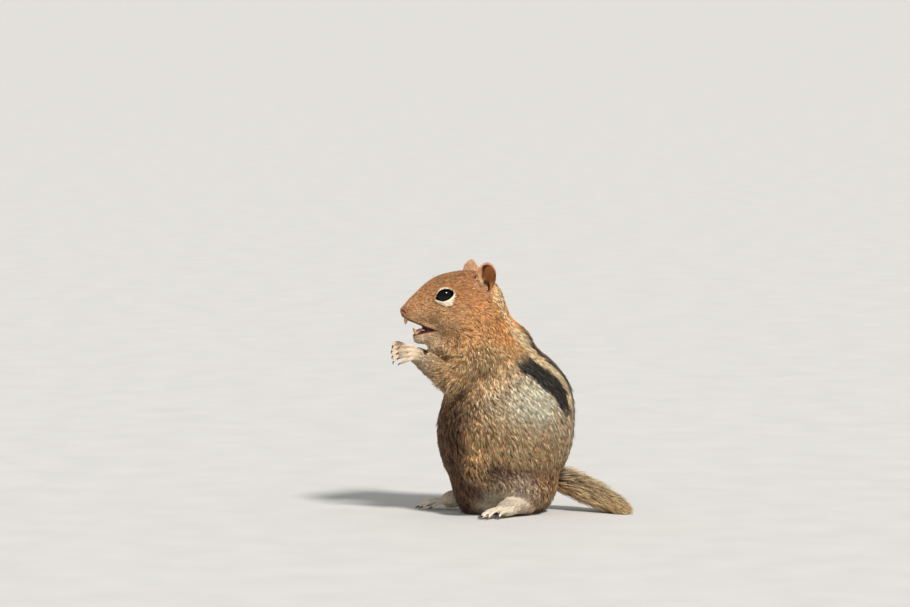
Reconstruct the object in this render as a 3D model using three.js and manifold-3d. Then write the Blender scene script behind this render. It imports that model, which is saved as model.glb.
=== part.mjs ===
// A golden-mantled ground squirrel, life size, sitting upright on its haunches with its hands raised
// to its open mouth.
// Millimetres, +Z up. The animal faces -X, its left side is -Y, and it rests on the plane z = 0.

import * as THREE from 'three';
import { mergeVertices } from 'three/addons/utils/BufferGeometryUtils.js';
import Module from 'manifold-3d';

const wasm = await Module();
wasm.setup();

// Driving dimensions

const GAP = 0.3;
const COARSE_GAP = 0.8;
const BODY_HALF_WIDTH = 27;
const HEAD_HALF_WIDTH = 14.5;

const BODY_CELL = 5;
const HEAD_CELL = 2.3;

const EYE_RADIUS = 5.3;
const EYE_CENTRE = [-33.8, 7.5, 118.6];
const EYE_AXIS = [-0.34, 0.92, 0.2];
const EYE_OPENING_LENGTH = 10.2;
const EYE_OPENING_HEIGHT = 6.4;
const LID_RADIUS = 0.75;
const LID_POINTS = 18;
const EYE_SOCKET_WALL = 0.5;

const EAR_HEIGHT = 17.5;
const EAR_WIDTH = 12.4;
const EAR_THICKNESS = 1.1;
const EAR_ROOT = [-13.2, 12.4, 119.4];

const MOUTH_CORNER = [-37.6, 100];
const UPPER_LIP_FRONT = [-56, 108.2];
const LOWER_LIP_FRONT = [-49.6, 97.4];
const INNER_MOUTH_HALF_WIDTH = 4.2;
const LIP_RADIUS = 0.8;
const NOSTRIL = {
  path: [[-57, 1.3, 111.6], [-54.4, 2.6, 110.6], [-52.6, 3.9, 109]],
  radii: [0.75, 0.6, 0.4],
};
const UPPER_INCISOR = {
  path: [[-52.4, 0.95, 105.6], [-52.6, 0.95, 103.6], [-51.8, 0.9, 101.6]],
  radii: [1.1, 1.05, 0.8],
};
const LOWER_INCISOR = {
  path: [[-48, 0.75, 98.5], [-48.6, 0.75, 100.4], [-49.2, 0.7, 102.2]],
  radii: [0.9, 0.85, 0.65],
};
const TONGUE = { path: [[-44.9, 0, 100.1], [-45.8, 0, 99.9], [-46.8, 0, 99.7]], radii: [2.6, 2.4, 1.7] };

const SHOULDER = [-17, 14.5, 86];
const ELBOWS = { left: [-34, -18, 73], right: [-27.5, 18, 76] };
const WRIST = [-48, 9, 88.4];
const FINGER_RADIUS = 1.15;
const FINGER_LENGTH = 8;
const FINGER_SPACING = 1.9;
const FOREARM_RADII = [7.4, 6.3, 3.9];
const PALM_RADII = [3.6, 4.3, 3.9];

const HAUNCH_CENTRES = { left: [-1, -16, 46], right: [4, 16, 46] };
const HAUNCH_RADII = [33, 15.2, 27];
const KNEES = { left: [-20, -22, 27], right: [-16, 22, 27] };
const HOCKS = { left: [13, -19, 11], right: [13, 19, 11] };
const FEET = {
  left: { heel: [12, -20], toes: [-21, -33] },
  right: { heel: [-3, 19], toes: [-37.5, 26] },
};
const FOOT_RADII = [4.8, 5.6, 6.3, 5.6];
const TOE_RADIUS = 1.55;
const TOE_SPACING = 2.6;
const CLAW_LENGTH = 3;

const TAIL_PATH = [[22, 2, 17], [34, 0, 16], [44, -7, 12.4], [52, -16, 8.2], [58, -26, 4.8]];
const TAIL_CORE_RADIUS = 3;
const TAIL_HAIR_HEIGHT = 6.2;
const TAIL_HAIR_WIDTH = 8;
const TAIL_TIP_HAIR = 13.5;
const TAIL_PARTING = 0.45;
const LOCK_RINGS = 6;
const LOCKS_AROUND = 6;
const LOCK_LENGTH = 20;
const LOCK_WIDTH = 6.4;
const LOCK_THICKNESS = 2;

// Small vector help on plain arrays

const add = (a, b) => [a[0] + b[0], a[1] + b[1], a[2] + b[2]];
const scale = (a, s) => [a[0] * s, a[1] * s, a[2] * s];
const mix = (a, b, t) => a.map((value, i) => value + (b[i] - value) * t);
const unit = (a) => scale(a, 1 / Math.hypot(...a));
const sideOf = (point, side) => [point[0], point[1] * side, point[2]];
const vector = (a) => new THREE.Vector3(...a);

// Distance fields: negative inside, positive outside

function ellipsoid(centre, radii, pitchDegrees = 0) {
  const pitch = THREE.MathUtils.degToRad(pitchDegrees);
  const [cos, sin] = [Math.cos(pitch), Math.sin(pitch)];
  return ([px, py, pz]) => {
    const dx = px - centre[0];
    const dz = pz - centre[2];
    const x = dx * cos + dz * sin;
    const y = py - centre[1];
    const z = dz * cos - dx * sin;
    const near = Math.hypot(x / radii[0], y / radii[1], z / radii[2]);
    const slope = Math.hypot(x / radii[0] ** 2, y / radii[1] ** 2, z / radii[2] ** 2);
    return slope < 1e-9 ? -Math.min(...radii) : near * (near - 1) / slope;
  };
}

function taperedCapsule(start, end, startRadius, endRadius, widthScale = 1) {
  const axis = [end[0] - start[0], (end[1] - start[1]) / widthScale, end[2] - start[2]];
  const lengthSquared = axis[0] ** 2 + axis[1] ** 2 + axis[2] ** 2;
  return ([px, py, pz]) => {
    const x = px - start[0];
    const y = (py - start[1]) / widthScale;
    const z = pz - start[2];
    const t = THREE.MathUtils.clamp((x * axis[0] + y * axis[1] + z * axis[2]) / lengthSquared, 0, 1);
    const far = Math.hypot(x - axis[0] * t, y - axis[1] * t, z - axis[2] * t);
    return far - (startRadius + (endRadius - startRadius) * t);
  };
}

function softUnion(a, b, blend) {
  const h = Math.max(blend - Math.abs(a - b), 0) / blend;
  return Math.min(a, b) - h * h * blend / 4;
}

// The flesh with its coat, as blended forms. Each entry has a field and the width of its blend with what
// comes before.

const SIDES = [['left', -1], ['right', 1]];
const bothSides = (make) => SIDES.map(([name, side]) => make(side, name));

const TORSO_FORMS = [
  { field: ellipsoid([6.8, 0, 46.5], [34.6, BODY_HALF_WIDTH, 43], -6), blend: 1 },
  { field: ellipsoid([-6, 0, 44], [28.6, BODY_HALF_WIDTH - 2, 36]), blend: 10 },
  { field: ellipsoid([11, 0, 13], [20, 22, 15]), blend: 7 },
  { field: ellipsoid([-9, 0, 15], [20, 18, 18]), blend: 8 },
  { field: taperedCapsule([-11.5, 0, 98], [8, 0, 60], 17, 28, 0.9), blend: 10 },
  { field: ellipsoid([-17, 0, 82], [16.5, 16, 20]), blend: 8 },
  { field: ellipsoid([-32.5, 0, 88.5], [8.5, 9.5, 9]), blend: 6 },
  { field: ellipsoid([4, 0, 92], [12.5, 14, 12.5]), blend: 6 },
];
const LIMB_FORMS = [
  ...bothSides((side, name) => ({ field: ellipsoid(HAUNCH_CENTRES[name], HAUNCH_RADII), blend: 5 })),
  ...bothSides((side, name) => ({ field: taperedCapsule(KNEES[name], HOCKS[name], 9.5, 8), blend: 2.5 })),
  ...bothSides((side, name) => ({
    field: taperedCapsule(sideOf(SHOULDER, side), ELBOWS[name], 10.5, 7), blend: 6,
  })),
];
const HEAD_FORMS = [
  { field: ellipsoid([-14, 0, 105], [15.2, 15.5, 18.5], -25), blend: 9 },
  { field: ellipsoid([-19, 0, 117], [19, HEAD_HALF_WIDTH, 15.3]), blend: 6 },
  { field: ellipsoid([-32, 0, 117], [13.5, 11.2, 12.2], 12), blend: 6 },
  { field: ellipsoid([-41, 0, 113.2], [15.3, 7.6, 9.4], 24), blend: 5 },
  ...bothSides((side) => ({ field: ellipsoid([-26, side * 7.6, 107.5], [13, 8.2, 11]), blend: 6 })),
  { field: taperedCapsule([-30, 0, 102.5], [-45.5, 0, 96.4], 9.5, 4.1), blend: 4 },
  { field: ellipsoid([-54, 0, 111], [2.4, 3.2, 2.6]), blend: 2 },
];

function fieldOf(forms) {
  return (point) => {
    let total = forms[0].field(point);
    for (let i = 1; i < forms.length; i += 1) {
      total = softUnion(total, forms[i].field(point), forms[i].blend);
    }
    return total;
  };
}

const bodyField = fieldOf([...TORSO_FORMS, ...LIMB_FORMS, ...HEAD_FORMS]);

// The level surface of a field, one vertex in each grid cell that it crosses, then drawn onto the surface

function gradient(field, p) {
  const step = 0.05;
  return [0, 1, 2].map((axis) => {
    const ahead = [...p];
    const behind = [...p];
    ahead[axis] += step;
    behind[axis] -= step;
    return (field(ahead) - field(behind)) / (2 * step);
  });
}

function drawnOnto(field, level, start, reach) {
  let p = start;
  for (let pass = 0; pass < 3; pass += 1) {
    const slope = gradient(field, p);
    const steepness = slope[0] ** 2 + slope[1] ** 2 + slope[2] ** 2;
    p = add(p, scale(slope, (level - field(p)) / Math.max(steepness, 0.05)));
  }
  const moved = Math.hypot(p[0] - start[0], p[1] - start[1], p[2] - start[2]);
  return moved > reach ? mix(start, p, reach / moved) : p;
}

const CORNERS = [0, 1, 2, 3, 4, 5, 6, 7].map((corner) => [corner & 1, (corner >> 1) & 1, corner >> 2]);
const EDGES = CORNERS.flatMap((_, a) => [1, 2, 4].filter((bit) => !(a & bit)).map((bit) => [a, a | bit]));
const edgeNumber = (a, b) => EDGES.findIndex(([c, d]) => (a === c && b === d) || (a === d && b === c));
const FACES = [[1, 2, 4], [2, 4, 1], [4, 1, 2]].flatMap(
  ([u, v, w]) => [0, w].map((base) => [base, base | u, base | u | v, base | v]));

// The crossed edges of one cell in groups, one group for each sheet of the surface that passes through it

function sheetsOf(cornerValues) {
  const group = EDGES.map(([a, b], i) => (cornerValues[a] < 0 === cornerValues[b] < 0 ? -1 : i));
  const join = (a, b) => {
    const [keep, drop] = [group[a], group[b]];
    group.forEach((value, i) => {
      if (value === drop) group[i] = keep;
    });
  };
  for (const face of FACES) {
    const faceEdges = face.map((corner, i) => edgeNumber(corner, face[(i + 1) % 4]));
    const crossed = faceEdges.filter((edge) => group[edge] >= 0);
    if (crossed.length === 2) join(...crossed);
    if (crossed.length < 4) continue;
    const middle = face.reduce((sum, corner) => sum + cornerValues[corner], 0);
    face.forEach((corner, i) => {
      if ((cornerValues[corner] < 0) !== (middle < 0)) join(faceEdges[i], faceEdges[(i + 3) % 4]);
    });
  }
  return group;
}

function levelSurface(field, low, high, cell, level = 0) {
  const counts = low.map((value, i) => Math.ceil((high[i] - value) / cell) + 1);
  const [nx, ny, nz] = counts;
  const index = (i, j, k) => i + nx * (j + ny * k);
  const at = (i, j, k) => [low[0] + i * cell, low[1] + j * cell, low[2] + k * cell];
  const values = new Float64Array(nx * ny * nz);
  for (let k = 0; k < nz; k += 1) {
    for (let j = 0; j < ny; j += 1) {
      for (let i = 0; i < nx; i += 1) values[index(i, j, k)] = field(at(i, j, k)) - level;
    }
  }
  const positions = [];
  const verticesOf = new Map();
  for (let k = 0; k < nz - 1; k += 1) {
    for (let j = 0; j < ny - 1; j += 1) {
      for (let i = 0; i < nx - 1; i += 1) {
        const cornerValues = CORNERS.map(([a, b, c]) => values[index(i + a, j + b, k + c)]);
        const insideCount = cornerValues.filter((value) => value < 0).length;
        if (insideCount === 0 || insideCount === 8) continue;
        const group = sheetsOf(cornerValues);
        const vertexOfEdge = new Array(12);
        for (const sheet of new Set(group.filter((value) => value >= 0))) {
          const members = EDGES.map((_, edge) => edge).filter((edge) => group[edge] === sheet);
          const crossings = members.map((edge) => {
            const [a, b] = EDGES[edge];
            return mix(CORNERS[a], CORNERS[b], cornerValues[a] / (cornerValues[a] - cornerValues[b]));
          });
          const centre = scale(crossings.reduce(add), cell / crossings.length);
          for (const edge of members) vertexOfEdge[edge] = positions.length / 3;
          positions.push(...drawnOnto(field, level, add(at(i, j, k), centre), cell * 0.5));
        }
        verticesOf.set(index(i, j, k), vertexOfEdge);
      }
    }
  }
  const distance = (a, b) => Math.hypot(
    positions[3 * a] - positions[3 * b],
    positions[3 * a + 1] - positions[3 * b + 1],
    positions[3 * a + 2] - positions[3 * b + 2]);
  const triangles = [];
  const strides = [1, nx, nx * ny];
  for (let k = 1; k < nz - 1; k += 1) {
    for (let j = 1; j < ny - 1; j += 1) {
      for (let i = 1; i < nx - 1; i += 1) {
        const here = index(i, j, k);
        for (let axis = 0; axis < 3; axis += 1) {
          const inside = values[here] < 0;
          if (inside === values[here + strides[axis]] < 0) continue;
          const [u, v] = [(axis + 1) % 3, (axis + 2) % 3];
          const around = [[1, 1], [0, 1], [0, 0], [1, 0]];
          const quad = around.map(([alongU, alongV]) => {
            const corner = (alongU << u) | (alongV << v);
            const cellIndex = here - alongU * strides[u] - alongV * strides[v];
            return verticesOf.get(cellIndex)[edgeNumber(corner, corner | (1 << axis))];
          });
          if (!inside) quad.reverse();
          const [a, b, c, d] = quad;
          if (distance(a, c) < distance(b, d)) triangles.push(a, b, c, a, c, d);
          else triangles.push(a, b, d, b, c, d);
        }
      }
    }
  }
  return solidFrom(positions, triangles);
}

// Solids

function solidFrom(positions, triangles) {
  return new wasm.Manifold(new wasm.Mesh({
    numProp: 3,
    vertProperties: new Float32Array(positions),
    triVerts: new Uint32Array(triangles),
  }));
}

function solidOf(geometry) {
  const bare = geometry.clone();
  bare.deleteAttribute('normal');
  bare.deleteAttribute('uv');
  const merged = mergeVertices(bare, 1e-4);
  return solidFrom(merged.attributes.position.array, merged.index.array);
}

function halfSpace(point, direction) {
  const size = 400;
  const geometry = new THREE.BoxGeometry(size, size, size);
  geometry.translate(0, 0, size / 2);
  const turn = new THREE.Quaternion().setFromUnitVectors(vector([0, 0, 1]), vector(unit(direction)));
  geometry.applyQuaternion(turn);
  geometry.translate(...point);
  return solidOf(geometry);
}

function parted(solid, point, direction) {
  const up = unit(direction);
  const near = solid.subtract(halfSpace(add(point, scale(up, -GAP / 2)), up));
  const far = solid.subtract(halfSpace(add(point, scale(up, GAP / 2)), scale(up, -1)));
  return [near, far];
}

function largest(solid) {
  return solid.decompose().sort((a, b) => b.volume() - a.volume())[0];
}

function joined(solids) {
  return largest(wasm.Manifold.union(solids));
}

const floorBelow = halfSpace([0, 0, 0], [0, 0, -1]);

// A closed tube through given points with its own radius at each, and sections widened across

const END_BULGE = 0.6;

function taperedTube(points, radii, options = {}) {
  const { sides = 8, steps = 2, flatten = 1, across = [0, 1, 0], turn = 0 } = options;
  const curve = new THREE.CatmullRomCurve3(points.map(vector));
  const rings = (points.length - 1) * steps + 1;
  const positions = [];
  const triangles = [];
  const acrossVector = vector(unit(across));
  for (let r = 0; r < rings; r += 1) {
    const t = r / (rings - 1);
    const centre = curve.getPoint(t);
    const along = curve.getTangent(t);
    const wide = acrossVector.clone().addScaledVector(along, -acrossVector.dot(along)).normalize();
    const thick = new THREE.Vector3().crossVectors(along, wide);
    const place = t * (radii.length - 1);
    const left = Math.min(Math.floor(place), radii.length - 2);
    const radius = radii[left] + (radii[left + 1] - radii[left]) * (place - left);
    for (let s = 0; s < sides; s += 1) {
      const angle = 2 * Math.PI * s / sides + turn;
      const point = centre.clone()
        .addScaledVector(wide, radius * Math.cos(angle))
        .addScaledVector(thick, radius * flatten * Math.sin(angle));
      positions.push(point.x, point.y, point.z);
    }
  }
  const ends = [[0, -1], [1, 1]];
  for (const [t, sign] of ends) {
    const radius = t ? radii[radii.length - 1] : radii[0];
    const cap = curve.getPoint(t).addScaledVector(curve.getTangent(t), sign * radius * END_BULGE);
    positions.push(cap.x, cap.y, cap.z);
  }
  const startCap = rings * sides;
  const endCap = startCap + 1;
  for (let s = 0; s < sides; s += 1) {
    const next = (s + 1) % sides;
    triangles.push(startCap, next, s);
    triangles.push(endCap, (rings - 1) * sides + s, (rings - 1) * sides + next);
    for (let r = 0; r < rings - 1; r += 1) {
      const a = r * sides + s;
      const b = r * sides + next;
      triangles.push(a, b, b + sides, a, b + sides, a + sides);
    }
  }
  return solidFrom(positions, triangles);
}

function ball(centre, radius) {
  const geometry = new THREE.SphereGeometry(radius, 12, 10);
  geometry.translate(...centre);
  return solidOf(geometry);
}

// A prism across the body, standing on an outline in the x-z plane, from one y to another

function prism(outline, from, to) {
  const shape = new THREE.Shape(outline.map(([x, z]) => new THREE.Vector2(x, z)));
  const geometry = new THREE.ExtrudeGeometry(shape, { depth: Math.abs(to - from), bevelEnabled: false });
  geometry.rotateX(Math.PI / 2);
  geometry.translate(0, Math.max(from, to), 0);
  return solidOf(geometry);
}

function ovalOutline([x, z], [alongX, alongZ], points = 20) {
  return Array.from({ length: points }, (_, i) => {
    const angle = 2 * Math.PI * i / points;
    return [x + alongX * Math.cos(angle), z + alongZ * Math.sin(angle)];
  });
}

function longOutline(start, end, radius, arcPoints = 6) {
  const heading = Math.atan2(end[1] - start[1], end[0] - start[0]);
  return [[end, heading - Math.PI / 2], [start, heading + Math.PI / 2]].flatMap(([[x, z], first]) => (
    Array.from({ length: arcPoints + 1 }, (_, i) => {
      const angle = first + Math.PI * i / arcPoints;
      return [x + radius * Math.cos(angle), z + radius * Math.sin(angle)];
    })
  ));
}

// Torso, haunches, lower legs and upper arms, parted from one blended surface

const NECK_BASE = { point: [-12, 0, 94.5], direction: [-0.48, 0, 0.877] };
const HEAD_BASE = { point: [-19, 0, 106.6], direction: [-0.617, 0, 0.787] };
const WAIST = { point: [0, 0, 62], direction: [0.1, 0, 1] };
const HAUNCH_DEPTH = 13;
const SHANK_DEPTH = 12;
const UPPER_ARM_DEPTH = 10;

const BODY_BOX = [[-66, -46, -14], [56, 46, 146]];
const wholeBody = levelSurface(bodyField, ...BODY_BOX, BODY_CELL).subtract(floorBelow);
const bodyWithGap = levelSurface(bodyField, ...BODY_BOX, BODY_CELL, COARSE_GAP);
const nodes = new Map();

const [belowNeck, neckUpward] = parted(wholeBody, NECK_BASE.point, NECK_BASE.direction);
const [neck] = parted(neckUpward, HEAD_BASE.point, HEAD_BASE.direction);
let [abdomen, chest] = parted(belowNeck, WAIST.point, WAIST.direction);

const sideView = ([x, , z]) => [x, z];
const LIMB_REGIONS = {
  haunch: {
    depth: HAUNCH_DEPTH,
    outline: (name, growth) => ovalOutline(
      sideView(HAUNCH_CENTRES[name]), [HAUNCH_RADII[0] - 1 + growth, HAUNCH_RADII[2] - 1 + growth]),
  },
  shank: {
    depth: SHANK_DEPTH,
    outline: (name, growth) => longOutline(
      sideView(add(KNEES[name], [-2, 0, -3])), sideView(add(HOCKS[name], [0, 0, -1])), 11 + growth),
  },
  upper_arm: {
    depth: UPPER_ARM_DEPTH,
    outline: (name, growth) => longOutline(
      sideView(SHOULDER), sideView(add(ELBOWS[name], [-2, 0, -1])), 8.6 + growth),
  },
};

for (const [name, side] of SIDES) {
  const taken = [];
  for (const [limb, { depth, outline }] of Object.entries(LIMB_REGIONS)) {
    const region = prism(outline(name, 0), side * depth, side * 60);
    const hole = prism(outline(name, GAP), side * (depth - GAP), side * 60);
    const limbSolid = taken.reduce((solid, cut) => solid.subtract(cut), belowNeck.intersect(region));
    nodes.set(`${limb}_${name}`, limbSolid);
    taken.push(hole);
  }
  abdomen = taken.reduce((solid, cut) => solid.subtract(cut), abdomen);
  chest = taken.reduce((solid, cut) => solid.subtract(cut), chest);
}
nodes.set('abdomen', abdomen);
nodes.set('chest', chest);
nodes.set('neck', neck);

// Head, with eye sockets, lids, lips, nostrils and the open mouth

const headBaseDistance = ([x, , z]) => (
  (x - HEAD_BASE.point[0]) * HEAD_BASE.direction[0] + (z - HEAD_BASE.point[2]) * HEAD_BASE.direction[2]);
const headField = (point) => Math.max(bodyField(point), -headBaseDistance(point) - 3);
const HEAD_BOX = [[-62, -24, 80], [12, 24, 140]];

function eyeFrame(side) {
  const axis = vector(unit(sideOf(EYE_AXIS, side)));
  const forward = vector([-1, 0, -0.2]);
  forward.addScaledVector(axis, -forward.dot(axis)).normalize();
  const up = new THREE.Vector3().crossVectors(axis, forward).multiplyScalar(side > 0 ? -1 : 1);
  if (up.z < 0) up.negate();
  return { centre: vector(sideOf(EYE_CENTRE, side)), axis, forward, up };
}

function almond(angle, growth = 0) {
  const cos = Math.cos(angle);
  const sin = Math.sin(angle);
  const narrowing = 1 - 0.18 * cos * cos;
  return [
    (EYE_OPENING_LENGTH / 2 + growth) * cos,
    (EYE_OPENING_HEIGHT / 2 + growth) * sin * narrowing,
  ];
}

function inEyeFrame({ centre, axis, forward, up }, alongForward, alongUp, outward) {
  return centre.clone()
    .addScaledVector(forward, alongForward)
    .addScaledVector(up, alongUp)
    .addScaledVector(axis, outward)
    .toArray();
}

// A closed ring of tube through points that return to the first

function ringTube(points, radius, sides = 6) {
  const curve = new THREE.CatmullRomCurve3(points.map(vector), true);
  const middle = points.reduce(add).map((value) => value / points.length);
  const positions = [];
  const triangles = [];
  for (let r = 0; r < points.length; r += 1) {
    const t = r / points.length;
    const centre = curve.getPoint(t);
    const along = curve.getTangent(t);
    const outward = centre.clone().sub(vector(middle));
    outward.addScaledVector(along, -outward.dot(along)).normalize();
    const other = new THREE.Vector3().crossVectors(along, outward);
    for (let s = 0; s < sides; s += 1) {
      const angle = 2 * Math.PI * s / sides;
      const point = centre.clone()
        .addScaledVector(outward, radius * Math.cos(angle))
        .addScaledVector(other, radius * Math.sin(angle));
      positions.push(point.x, point.y, point.z);
      const a = r * sides + s;
      const b = r * sides + (s + 1) % sides;
      const c = ((r + 1) % points.length) * sides + (s + 1) % sides;
      const d = ((r + 1) % points.length) * sides + s;
      triangles.push(a, b, c, a, c, d);
    }
  }
  return solidFrom(positions, triangles);
}

function lids(side) {
  const frame = eyeFrame(side);
  const reach = EYE_RADIUS + GAP + EYE_SOCKET_WALL;
  return ringTube(Array.from({ length: LID_POINTS }, (_, i) => {
    const [a, b] = almond(2 * Math.PI * i / LID_POINTS, EYE_SOCKET_WALL);
    return inEyeFrame(frame, a, b, Math.sqrt(reach ** 2 - a ** 2 - b ** 2));
  }), LID_RADIUS);
}

function eyeOpening(side) {
  const { axis, forward, up, centre } = eyeFrame(side);
  const shape = new THREE.Shape(Array.from({ length: LID_POINTS }, (_, i) => (
    new THREE.Vector2(...almond(2 * Math.PI * i / LID_POINTS)))));
  const geometry = new THREE.ExtrudeGeometry(shape, { depth: 2 * EYE_RADIUS, bevelEnabled: false });
  const right = new THREE.Vector3().crossVectors(up, axis);
  geometry.scale(Math.sign(right.dot(forward)), 1, 1);
  if (right.dot(forward) < 0) flipFaces(geometry);
  geometry.applyMatrix4(new THREE.Matrix4().makeBasis(right, up, axis).setPosition(centre));
  return solidOf(geometry);
}

function flipFaces(geometry) {
  const { array } = geometry.attributes.position;
  for (let i = 0; i < array.length; i += 9) {
    for (let j = 0; j < 3; j += 1) [array[i + j], array[i + 3 + j]] = [array[i + 3 + j], array[i + j]];
  }
}

// Half the width of the head at a place in its side view

function surfaceY(x, z) {
  let [inside, outside] = [0, 24];
  for (let pass = 0; pass < 20; pass += 1) {
    const middle = (inside + outside) / 2;
    if (bodyField([x, middle, z]) < 0) inside = middle;
    else outside = middle;
  }
  return inside;
}

function lip(corner, front, radius, drop) {
  const steps = 5;
  const oneSide = Array.from({ length: steps }, (_, i) => {
    const [x, z] = mix(corner, front, 0.12 + 0.7 * i / (steps - 1));
    return [x, surfaceY(x, z + drop) - radius * 0.4, z + drop];
  });
  const [tipX, tipZ] = add(mix(corner, front, 0.92), [0, drop]);
  const tip = [tipX, 0, tipZ];
  const path = [...oneSide.map((point) => sideOf(point, -1)), tip, ...oneSide.reverse()];
  return taperedTube(path, path.map((_, i) => (i === 0 || i === path.length - 1 ? radius * 0.5 : radius)),
    { sides: 6, across: [0, 0, 1], steps: 1 });
}

const mouthOutline = [
  MOUTH_CORNER, [-44.9, 102.8], [-51.1, 105.6], UPPER_LIP_FRONT,
  [-64, 111], [-64, 94.5], LOWER_LIP_FRONT, [-44.5, 98.7],
];
const throat = [[-43, 90], [-20, 90], [-20, 110], [-43, 110]];
const mouthCut = prism(mouthOutline, -30, 30)
  .subtract(prism(throat, -INNER_MOUTH_HALF_WIDTH, INNER_MOUTH_HALF_WIDTH));

let head = levelSurface(headField, ...HEAD_BOX, HEAD_CELL);
[, head] = parted(head, HEAD_BASE.point, HEAD_BASE.direction);
head = head.subtract(mouthCut);
for (const [name, side] of SIDES) {
  const centre = sideOf(EYE_CENTRE, side);
  head = head.add(lids(side)).subtract(ball(centre, EYE_RADIUS + GAP));
  head = head.subtract(eyeOpening(side));
  head = head.subtract(taperedTube(
    NOSTRIL.path.map((point) => sideOf(point, side)), NOSTRIL.radii, { sides: 6, steps: 1 }));
  nodes.set(`eye_${name}`, ball(centre, EYE_RADIUS));
}
const [jaw, upperHead] = parted(head, [MOUTH_CORNER[0], 0, MOUTH_CORNER[1]], [0, 0, 1]);
nodes.set('head', upperHead.add(lip(MOUTH_CORNER, UPPER_LIP_FRONT, LIP_RADIUS, 0.7)));
nodes.set('lower_jaw', jaw.add(lip(MOUTH_CORNER, LOWER_LIP_FRONT, LIP_RADIUS, -0.9)));

// Teeth and tongue, where the open mouth shows them

function incisors({ path, radii }) {
  return joined([-1, 1].map((side) => (
    taperedTube(path.map((point) => sideOf(point, side)), radii, { sides: 6, steps: 1, flatten: 0.8 }))));
}

nodes.set('incisors_upper', incisors(UPPER_INCISOR));
nodes.set('incisors_lower', incisors(LOWER_INCISOR));
nodes.set('tongue', taperedTube(TONGUE.path, TONGUE.radii, { sides: 8, steps: 1, flatten: 0.3 }));

// Ears: an oval bowl with a thick rim, open to the side and forward

const EAR_RINGS = 3;
const EAR_SPOKES = 16;
const EAR_DEPTH = 5.2;

function ear(side) {
  const upward = vector(unit(sideOf([0.1, 0.1, 1], side)));
  const facing = vector(unit(sideOf([-0.42, 0.9, 0], side)));
  facing.addScaledVector(upward, -facing.dot(upward)).normalize();
  const backward = new THREE.Vector3().crossVectors(upward, facing).multiplyScalar(-side);
  if (backward.x < 0) backward.negate();
  const root = vector(sideOf(EAR_ROOT, side));
  const place = (rho, angle, inset) => {
    const across = EAR_WIDTH / 2 * (0.88 + 0.12 * Math.sin(angle)) * Math.cos(angle);
    const high = EAR_HEIGHT / 2 * Math.sin(angle);
    const bowl = EAR_DEPTH * (1 - rho * rho);
    const curl = 1.2 * Math.abs(Math.cos(angle)) * rho;
    return root.clone()
      .addScaledVector(backward, across * rho * inset)
      .addScaledVector(upward, EAR_HEIGHT * 0.5 + high * rho * inset)
      .addScaledVector(facing, -bowl + curl);
  };
  const positions = [];
  const triangles = [];
  const push = (point) => positions.push(point.x, point.y, point.z);
  for (const [layer, inset, drop] of [[0, 1 - EAR_THICKNESS / EAR_WIDTH * 1.6, 0], [1, 1, EAR_THICKNESS]]) {
    for (let r = 1; r <= EAR_RINGS; r += 1) {
      for (let s = 0; s < EAR_SPOKES; s += 1) {
        const point = place(r / EAR_RINGS, 2 * Math.PI * s / EAR_SPOKES, inset);
        const fade = layer && r === EAR_RINGS ? 0.55 : 1;
        push(point.addScaledVector(facing, -drop * fade));
      }
    }
    push(place(0, 0, inset).addScaledVector(facing, -drop));
  }
  const layerSize = EAR_RINGS * EAR_SPOKES + 1;
  for (const layer of [0, 1]) {
    const base = layer * layerSize;
    const centre = base + EAR_RINGS * EAR_SPOKES;
    for (let s = 0; s < EAR_SPOKES; s += 1) {
      const next = (s + 1) % EAR_SPOKES;
      const faces = [[centre, base + s, base + next]];
      for (let r = 0; r < EAR_RINGS - 1; r += 1) {
        const [a, b] = [base + r * EAR_SPOKES + s, base + r * EAR_SPOKES + next];
        faces.push([a, a + EAR_SPOKES, b + EAR_SPOKES], [a, b + EAR_SPOKES, b]);
      }
      for (const face of faces) triangles.push(...(layer ? [...face].reverse() : face));
      if (!layer) {
        const [a, b] = [(EAR_RINGS - 1) * EAR_SPOKES + s, (EAR_RINGS - 1) * EAR_SPOKES + next];
        triangles.push(a, a + layerSize, b + layerSize, a, b + layerSize, b);
      }
    }
  }
  const solid = solidFrom(positions, triangles);
  return solid.volume() > 0 ? solid : solidFrom(positions, triangles.reverse());
}

const headWithGap = levelSurface(headField, ...HEAD_BOX, HEAD_CELL, GAP);
for (const [name, side] of SIDES) nodes.set(`ear_${name}`, ear(side).subtract(headWithGap));

// Forearms and hands, held up before the mouth as round a thick stem

const WRIST_CUT = 0.86;

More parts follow.
